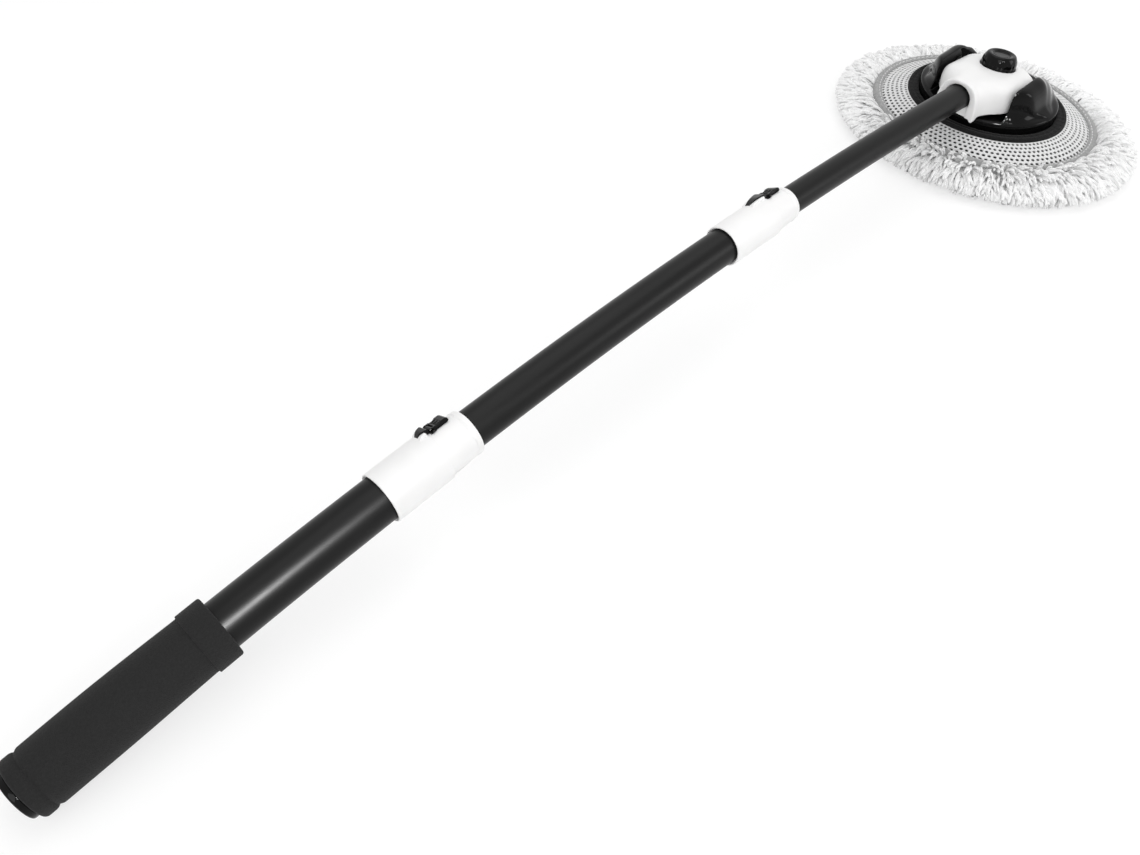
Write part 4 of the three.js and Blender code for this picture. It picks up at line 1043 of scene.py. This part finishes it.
# Pad back: hem, mesh and binding
def puckered(form, waves, height, start):
    """The top of a turned band rises and falls along it, in short waves over long ones."""
    points, faces = form
    angle = np.arctan2(points[:, 1], points[:, 0] / ASPECT)
    short, long = np.sin(angle * waves), np.sin(angle * math.floor(waves * SLOW_WAVES) + start)
    lift = short * (1 - SLOW_HEIGHT) + long * SLOW_HEIGHT
    points[:, 2] += lift * height * (points[:, 2] > points[:, 2].mean())
    return points, faces


def band(foot, ribs, steps, sides):
    """A band of the pad's back, turned from its foot and its ribs."""
    return turned_on_z(eased([(ribs[-1][0], *foot), (ribs[0][0], *foot), *ribs], steps), sides=sides)


def add_hem():
    form = puckered(band(HEM_FOOT, HEM_RIBS, HEM_STEPS, HEM_SIDES), *HEM_PUCKER)
    return piece("hem_band", form, HEM, "mop_head", "hem_fabric", "elastic_hem")


def add_binding():
    form = puckered(band(BINDING_FOOT, BINDING_RIBS, FINE_STEPS, BINDING_SIDES), *BINDING_PUCKER)
    return piece("binding_tape", form, BINDING, "mop_head", "binding_fabric", "binding_ring")


def mesh_height(semi):
    share = (semi - MESH_INNER) / (MESH_OUTER - MESH_INNER)
    return MESH_HIGH + (MESH_LOW - MESH_HIGH) * share + MESH_BULGE * np.sin(math.pi * share)


# A hole's cell, all as shares of the cell: the places round its edge and round the hole
CELL_EDGE = [(0, 0), (0.25, 0), (0.5, 0), (0.75, 0), (1, 0), (1, 0.5), (1, 1), (0.75, 1), (0.5, 1),
             (0.25, 1), (0, 1), (0, 0.5)]


def mesh_panel():
    """The back's mesh: staggered rows of oval holes, each in a cell of twelve faces."""
    points, faces, hole = [], [], []
    for along, across in CELL_EDGE:
        turn = math.atan2(across - 0.5, along - 0.5)
        hole.append((0.5 + HOLE_HALF_WIDTH * math.cos(turn), 0.5 + HOLE_HALF_HEIGHT * math.sin(turn)))
    cell = [(*place, THREAD_RISE) for place in CELL_EDGE] + [(*place, 0) for place in hole]
    cell_faces = grid_faces(2, len(CELL_EDGE), False)
    for row, column in product(range(MESH_ROWS), range(MESH_COLUMNS)):
        faces += shifted(cell_faces, len(points))
        for along, across, rise in cell:
            angle = (column + (row % 2) / 2 + along) / MESH_COLUMNS * TAU
            semi = MESH_INNER + (MESH_OUTER - MESH_INNER) * (row + across) / MESH_ROWS
            points.append((semi * ASPECT * math.cos(angle), semi * math.sin(angle), mesh_height(semi) + rise))
    return np.array(points), faces


def add_mesh(with_pieces):
    thing = object_of(mesh_panel())
    cloth = thing.modifiers.new("cloth", "SOLIDIFY")
    cloth.thickness, cloth.offset = MESH_THICKNESS, 0
    made = piece("mesh_back", form_of(thing), MESH, "mop_head", "mesh_fabric", "mesh_cover")


def normalized(vectors):
    return vectors / (np.linalg.norm(vectors, axis=-1, keepdims=True) + TINY)


def capsule_rows(centres, radii):
    """Closed rods with rounded ends: centres is rods x rings x 3 and radii is rods x rings."""
    rods, rings = radii.shape
    along = normalized(np.gradient(centres, axis=1))
    sideways = normalized(np.cross(along, np.array(NEARLY_UP)))
    upwards = np.cross(sideways, along)
    angles = around(FINGER_SIDES)[:, None]
    ring = sideways[:, :, None] * np.cos(angles) + upwards[:, :, None] * np.sin(angles)
    points = centres[:, :, None] + ring * radii[:, :, None, None]
    rod_faces, rod_points = skin_faces(rings, FINGER_SIDES), rings * FINGER_SIDES
    faces = [face for rod in range(rods) for face in shifted(rod_faces, rod * rod_points)]
    return points.reshape(-1, 3), faces


def add_stitches():
    angles = around(STITCHES)
    middles = np.stack([STITCH_SEMI * ASPECT * np.cos(angles), STITCH_SEMI * np.sin(angles),
                        np.full(STITCHES, BINDING_TOP - STITCH_SINK)], axis=1)
    tangents = normalized(np.stack([-ASPECT * np.sin(angles), np.cos(angles), np.zeros(STITCHES)], axis=1))
    shares, widths = np.array(STITCH_SHAPE).T
    centres = middles[:, None] + tangents[:, None] * (shares * STITCH_LENGTH)[None, :, None]
    centres[:, :, 2] -= shares**2 * STITCH_DIP
    radii = np.tile(widths * STITCH_RADIUS, (STITCHES, 1))
    return piece("binding_stitches", capsule_rows(centres, radii), MESH, "mop_head", "mesh_fabric")


# Chenille
def nearness(angle):
    """1 on the side of the pad whose tufts stand up, 0 on the far side."""
    return np.clip(np.cos(angle - NEAR_ANGLE) * NEAR_STEEPNESS + NEAR_LEVEL, 0, 1)


def skirt_semis(out):
    """Half the skirt's width and half its length."""
    return (PAD_SEMI * ASPECT + (FRINGE_X - PAD_SEMI * ASPECT) * out,
            PAD_SEMI + (FRINGE_Y - PAD_SEMI) * out)


def skirt_height(out, angle):
    rise = np.sin(np.clip(out, 0, 1) * math.pi) * SKIRT_HUMP + NEAR_LIFT * nearness(angle) * (1 - out)
    return SKIRT_TOP + rise - SKIRT_FALL * np.clip(out, 0, FALL_END) ** FALL_POWER


def skirt_place(out, angle):
    out = out * (1 - SHORT_SHARE * np.clip(np.cos(angle - SHORT_ANGLE), 0, 1))
    semi_x, semi_y = skirt_semis(out)
    return np.stack([semi_x * np.cos(angle), semi_y * np.sin(angle), skirt_height(out, angle)], axis=-1)


def skirt_form():
    """The skirt's top and underside, and the band that goes down inside it along the pad's edge."""
    angles = around(SKIRT_SIDES)
    rows = [skirt_place(np.full(SKIRT_SIDES, SKIRT_START + SKIRT_REACH * share), angles)
            for share in np.linspace(0, 1, SKIRT_STEPS)]
    rows += [row - np.array([0, 0, SKIRT_THICKNESS]) for row in rows[::-1]]
    foot = rows[0].copy()
    foot[:, 2] = BAND_FOOT
    rows += [foot, foot * BAND_INNER, rows[0] * BAND_INNER]
    return np.concatenate(rows), grid_faces(len(rows), SKIRT_SIDES, True)


def add_skirt(with_pieces):
    """The cloth that the tufts are sewn to, from the pad's edge outwards and down. Its dark grey is painted
    shade for the gaps between the tufts.
    """
    made = piece("fringe_skirt", skirt_form(), PAINTED_SHADE_BACKING, "mop_head", "chenille")


def finger_headings(out, angle, tilt, sideways):
    """Each tuft's direction from ring to ring: they lean together in clumps, veer and droop."""
    count = len(out)
    shares = np.linspace(0, 1, len(FINGER_SHAPE))
    clump = sum(height * np.sin(angle * turns + out * outwards + start)
                for height, turns, outwards, start in CLUMPS)
    lean = clump * CLUMP_LEAN + RANDOM.normal(0, LEAN_SPREAD, count)
    wave = TILT_WAVE * np.sin(angle * TILT_ROUND + out * TILT_OUTWARDS)
    lift = tilt + wave + RANDOM.normal(0, TILT_SPREAD, count)
    bend = (lift[:, None] - DROOP * shares**DROOP_POWER)[..., None]
    spread = RANDOM.normal(0, VEER_SPREAD, count)
    veer = (lean[:, None] * (1 - VEER_FADE * shares) + spread[:, None] * shares)[..., None]
    outward = np.stack([sideways[:, 1], -sideways[:, 0], np.zeros(count)], axis=1)
    heading = np.cos(bend) * (np.cos(veer) * outward[:, None] + np.sin(veer) * sideways[:, None])
    heading[..., 2:] += np.sin(bend)
    return heading


def finger_paths(out, angle, tilt, lengths):
    """Centre lines of tufts with their roots on the skirt, curled, and none below the floor."""
    count = len(out)
    sideways = normalized(np.stack([-np.sin(angle), np.cos(angle) * ASPECT, np.zeros(count)], axis=1))
    heading = finger_headings(out, angle, tilt, sideways)
    step = (lengths / (len(FINGER_SHAPE) - 1))[:, None, None]
    path = skirt_place(out, angle)[:, None] + np.cumsum(heading * step, axis=1) - heading[:, :1] * step
    shares = np.linspace(0, 1, len(FINGER_SHAPE))
    phase = RANDOM.uniform(0, TAU, count)[:, None]
    curl = np.sin(phase + shares * RANDOM.uniform(*CURL_TURNS, count)[:, None]) - np.sin(phase)
    path += (curl * CURL_WIDTH * shares)[..., None] * sideways[:, None]
    path[..., 2] = np.maximum(path[..., 2], FLOOR_GAP + FLOOR_SPREAD * np.sin(phase))
    return path


def fringe_fingers():
    """Every tuft of the fringe: those on top of the skirt, on its rim and below it."""
    top_out = RANDOM.uniform(*TOP_OUT, TOP_FINGERS)
    top_angle = RANDOM.uniform(0, TAU, TOP_FINGERS)
    standing = np.clip(1 - top_out / STANDING_REACH, 0, 1)
    standing = standing * (FAR_STANDING + NEAR_STANDING * nearness(top_angle))
    top_tilt = TOP_TILT - TOP_TILT_FALL * top_out + standing
    rim_out = RANDOM.uniform(*RIM_OUT, RIM_FINGERS)
    rim_tilt = RANDOM.uniform(*RIM_TILT, RIM_FINGERS)
    under_out = RANDOM.uniform(*UNDER_OUT, UNDER_FINGERS)
    out = np.concatenate([top_out, rim_out, under_out])
    angle = np.concatenate([top_angle, RANDOM.uniform(0, TAU, RIM_FINGERS + UNDER_FINGERS)])
    tilt = np.concatenate([top_tilt, rim_tilt, RANDOM.uniform(*UNDER_TILT, UNDER_FINGERS)])
    lengths = FINGER_LENGTH * RANDOM.uniform(*LENGTH_SPREAD, len(out))
    lengths = np.minimum(lengths, np.maximum((EDGE_SHARE - out) * (FRINGE_Y - PAD_SEMI), SHORTEST_FINGER))
    return angle, finger_paths(out, angle, tilt, lengths)


def add_fringe():
    angle, paths = fringe_fingers()
    quarter = (angle % TAU // (TAU / 4)).astype(int)
    made = []
    for index in range(4):
        own = paths[quarter == index]
        thickness = FINGER_RADIUS * RANDOM.uniform(*RADIUS_SPREAD, len(own))
        form = capsule_rows(own, np.outer(thickness, FINGER_SHAPE))
        name, node = f"chenille_{index + 1}", f"fringe_{index + 1}"
        made.append(piece(name, form, CHENILLE, "mop_head", "chenille", node))
    return made


def add_core():
    profile = eased([
        (0, CORE_LOW), (SOLE_SEMI, CORE_LOW, 1), (SOLE_SEMI + CORE_BULGE, (CORE_LOW + CORE_TOP) / 2, 1),
        (SOLE_SEMI, CORE_TOP, 1), (0, CORE_TOP),
    ])
    core = piece("core_pad", turned_on_z(profile), CORE, "mop_head", "pad_foam", "pad_core")


def sole_fingers():
    """Short tufts that lie every way between the sole's base cloth and the floor."""
    radius = SOLE_SEMI * SOLE_SHARE * np.sqrt(RANDOM.uniform(0, 1, SOLE_FINGERS))
    angle = RANDOM.uniform(0, TAU, SOLE_FINGERS)
    x, y = radius * ASPECT * np.cos(angle), radius * np.sin(angle)
    swirl = SOLE_SWIRL * np.sin(x / SWIRL_X) + SOLE_SWIRL * np.cos(y / SWIRL_Y)
    heading = swirl + RANDOM.normal(0, SWIRL_SPREAD, SOLE_FINGERS)
    shares = np.linspace(0, 1, len(SOLE_SHAPE))
    reach = SOLE_FINGER_LENGTH * RANDOM.uniform(*SOLE_LENGTHS, SOLE_FINGERS)
    reach *= np.clip((SOLE_SEMI + EDGE_ROOM - radius) / EDGE_FADE, EDGE_SHORTEST, 1)
    depth = SOLE_DEPTH * RANDOM.uniform(*SOLE_DEPTHS, SOLE_FINGERS)
    path = np.stack([
        x[:, None] + np.outer(np.cos(heading) * reach, shares),
        y[:, None] + np.outer(np.sin(heading) * reach, shares),
        SOLE_ROOT - np.outer(depth, np.sin(shares * math.pi * SOLE_ARCH)),
    ], axis=-1)
    return capsule_rows(path, np.tile(np.array(SOLE_SHAPE) * SOLE_FINGER_RADIUS, (SOLE_FINGERS, 1)))


def add_sole():
    """The underside: a base cloth with its tufts."""
    points, faces = turned_on_z(eased([
        (0, SOLE_FACE), (SOLE_SEMI - SOLE_ROUND, SOLE_FACE, 1), (SOLE_SEMI, SOLE_EDGE, 1),
        (SOLE_SEMI, SOLE_HEIGHT, 0.6), (0, SOLE_HEIGHT),
    ]))
    tufts, tuft_faces = sole_fingers()
    form = np.concatenate([points, tufts]), faces + shifted(tuft_faces, len(points))
    sole = piece("sole_chenille", form, CHENILLE, "mop_head", "chenille", "sole_pile")


# Stage
def ray_share(tree, rays):
    """1 where a ray is of one of these kinds, 0 elsewhere."""
    path = tree.nodes.new("ShaderNodeLightPath")
    seen = path.outputs[rays[0]]
    for ray in rays[1:]:
        either = tree.nodes.new("ShaderNodeMath")
        either.operation = "MAXIMUM"
        tree.links.new(seen, either.inputs[0])
        tree.links.new(path.outputs[ray], either.inputs[1])
        seen = either.outputs[0]
    return seen


def floor_look():
    """A pale floor that glows a little, but only where the camera or a reflection sees it."""
    floor = Look("floor", 0.9)
    floor.tone(floor.noise(900, 2), 0.86, 0.88)
    share = floor.node("ShaderNodeMath", operation="MULTIPLY")
    share.inputs[1].default_value = FLOOR_GLOW_SHARE
    floor.link(ray_share(floor.tree, ["Is Camera Ray", "Is Glossy Ray"]), share.inputs[0])
    glow = floor.node("ShaderNodeEmission")
    glow.inputs["Strength"].default_value = FLOOR_GLOW
    mix = floor.node("ShaderNodeMixShader")
    floor.link(share.outputs[0], mix.inputs["Fac"])
    floor.link(floor.shader.outputs["BSDF"], mix.inputs[1])
    floor.link(glow.outputs["Emission"], mix.inputs[2])
    floor.link(mix.outputs["Shader"], floor.tree.nodes["Material Output"].inputs["Surface"])
    return floor.material


def add_floor():
    corners = [(FLOOR_HALF * x, FLOOR_HALF * y, 0) for x, y in ((-1, -1), (1, -1), (1, 1), (-1, 1))]
    mesh = bpy.data.meshes.new("floor")
    mesh.from_pydata(corners, [], [(0, 1, 2, 3)])
    mesh.materials.append(floor_look())
    in_scene("floor", mesh)


LAMPS = [
    # name, place in metres, size in metres, watts
    ("overhead", (0.1, 0.3, 1.9), 1.8, 12),
    ("side", (0.9, -1.7, 0.75), 0.9, 8),
    ("front", (-1.7, -0.9, 1.5), 1.0, 8),
    ("dot_left", (-0.75, -0.95, 0.95), 0.035, 0.6),
    ("dot_right", (-0.6, -1.05, 0.95), 0.035, 0.6),
    ("glint", (-0.8, -0.57, 0.61), 0.15, 15),
]
ONLY_IN_SHINE = ["glint"]
AIM = Vector((-0.35, 0, 0.04))


def add_world():
    """White all round, and dimmer in the light that it gives to dull surfaces."""
    world = bpy.data.worlds.new("studio")
    bpy.context.scene.world = world
    world.use_nodes = True
    tree = world.node_tree
    sky = tree.nodes["Background"]
    sky.inputs["Color"].default_value = (1, 1, 1, 1)
    ranged = tree.nodes.new("ShaderNodeMapRange")
    ranged.inputs["To Min"].default_value, ranged.inputs["To Max"].default_value = AMBIENT, 1
    seen = ray_share(tree, ["Is Camera Ray", "Is Glossy Ray", "Is Transmission Ray"])
    tree.links.new(seen, ranged.inputs["Value"])
    tree.links.new(ranged.outputs["Result"], sky.inputs["Strength"])


def add_lamps():
    for name, place, size, watts in LAMPS:
        data = bpy.data.lights.new(name, "AREA")
        data.size, data.energy = size, watts
        lamp = in_scene(name, data)
        lamp.location = place
        lamp.visible_diffuse = name not in ONLY_IN_SHINE
        lamp.rotation_euler = (AIM - Vector(place)).to_track_quat("-Z", "Y").to_euler()


def add_camera():
    data = bpy.data.cameras.new("camera")
    data.sensor_fit, data.sensor_width, data.lens = "HORIZONTAL", SENSOR_WIDTH, LENS
    data.clip_start, data.clip_end = CLIP_START, CLIP_END
    camera = in_scene("camera", data)
    camera.location, camera.rotation_euler = CAMERA_PLACE, CAMERA_TURN
    bpy.context.scene.camera = camera


bpy.context.scene.view_settings.view_transform = "Standard"
add_camera()
add_world()
add_lamps()
add_floor()
finish_cad_nodes()
add_tubes()
add_grip()
add_end_cap()
add_collar("lower", "handle", Collar(*LOWER_COLLAR))
add_collar("upper", "middle_section", Collar(*UPPER_COLLAR))
add_bracket()
add_button()
add_housing()
add_core()
add_sole()
add_mesh([add_hem(), add_binding(), add_stitches()])
add_skirt(add_fringe())
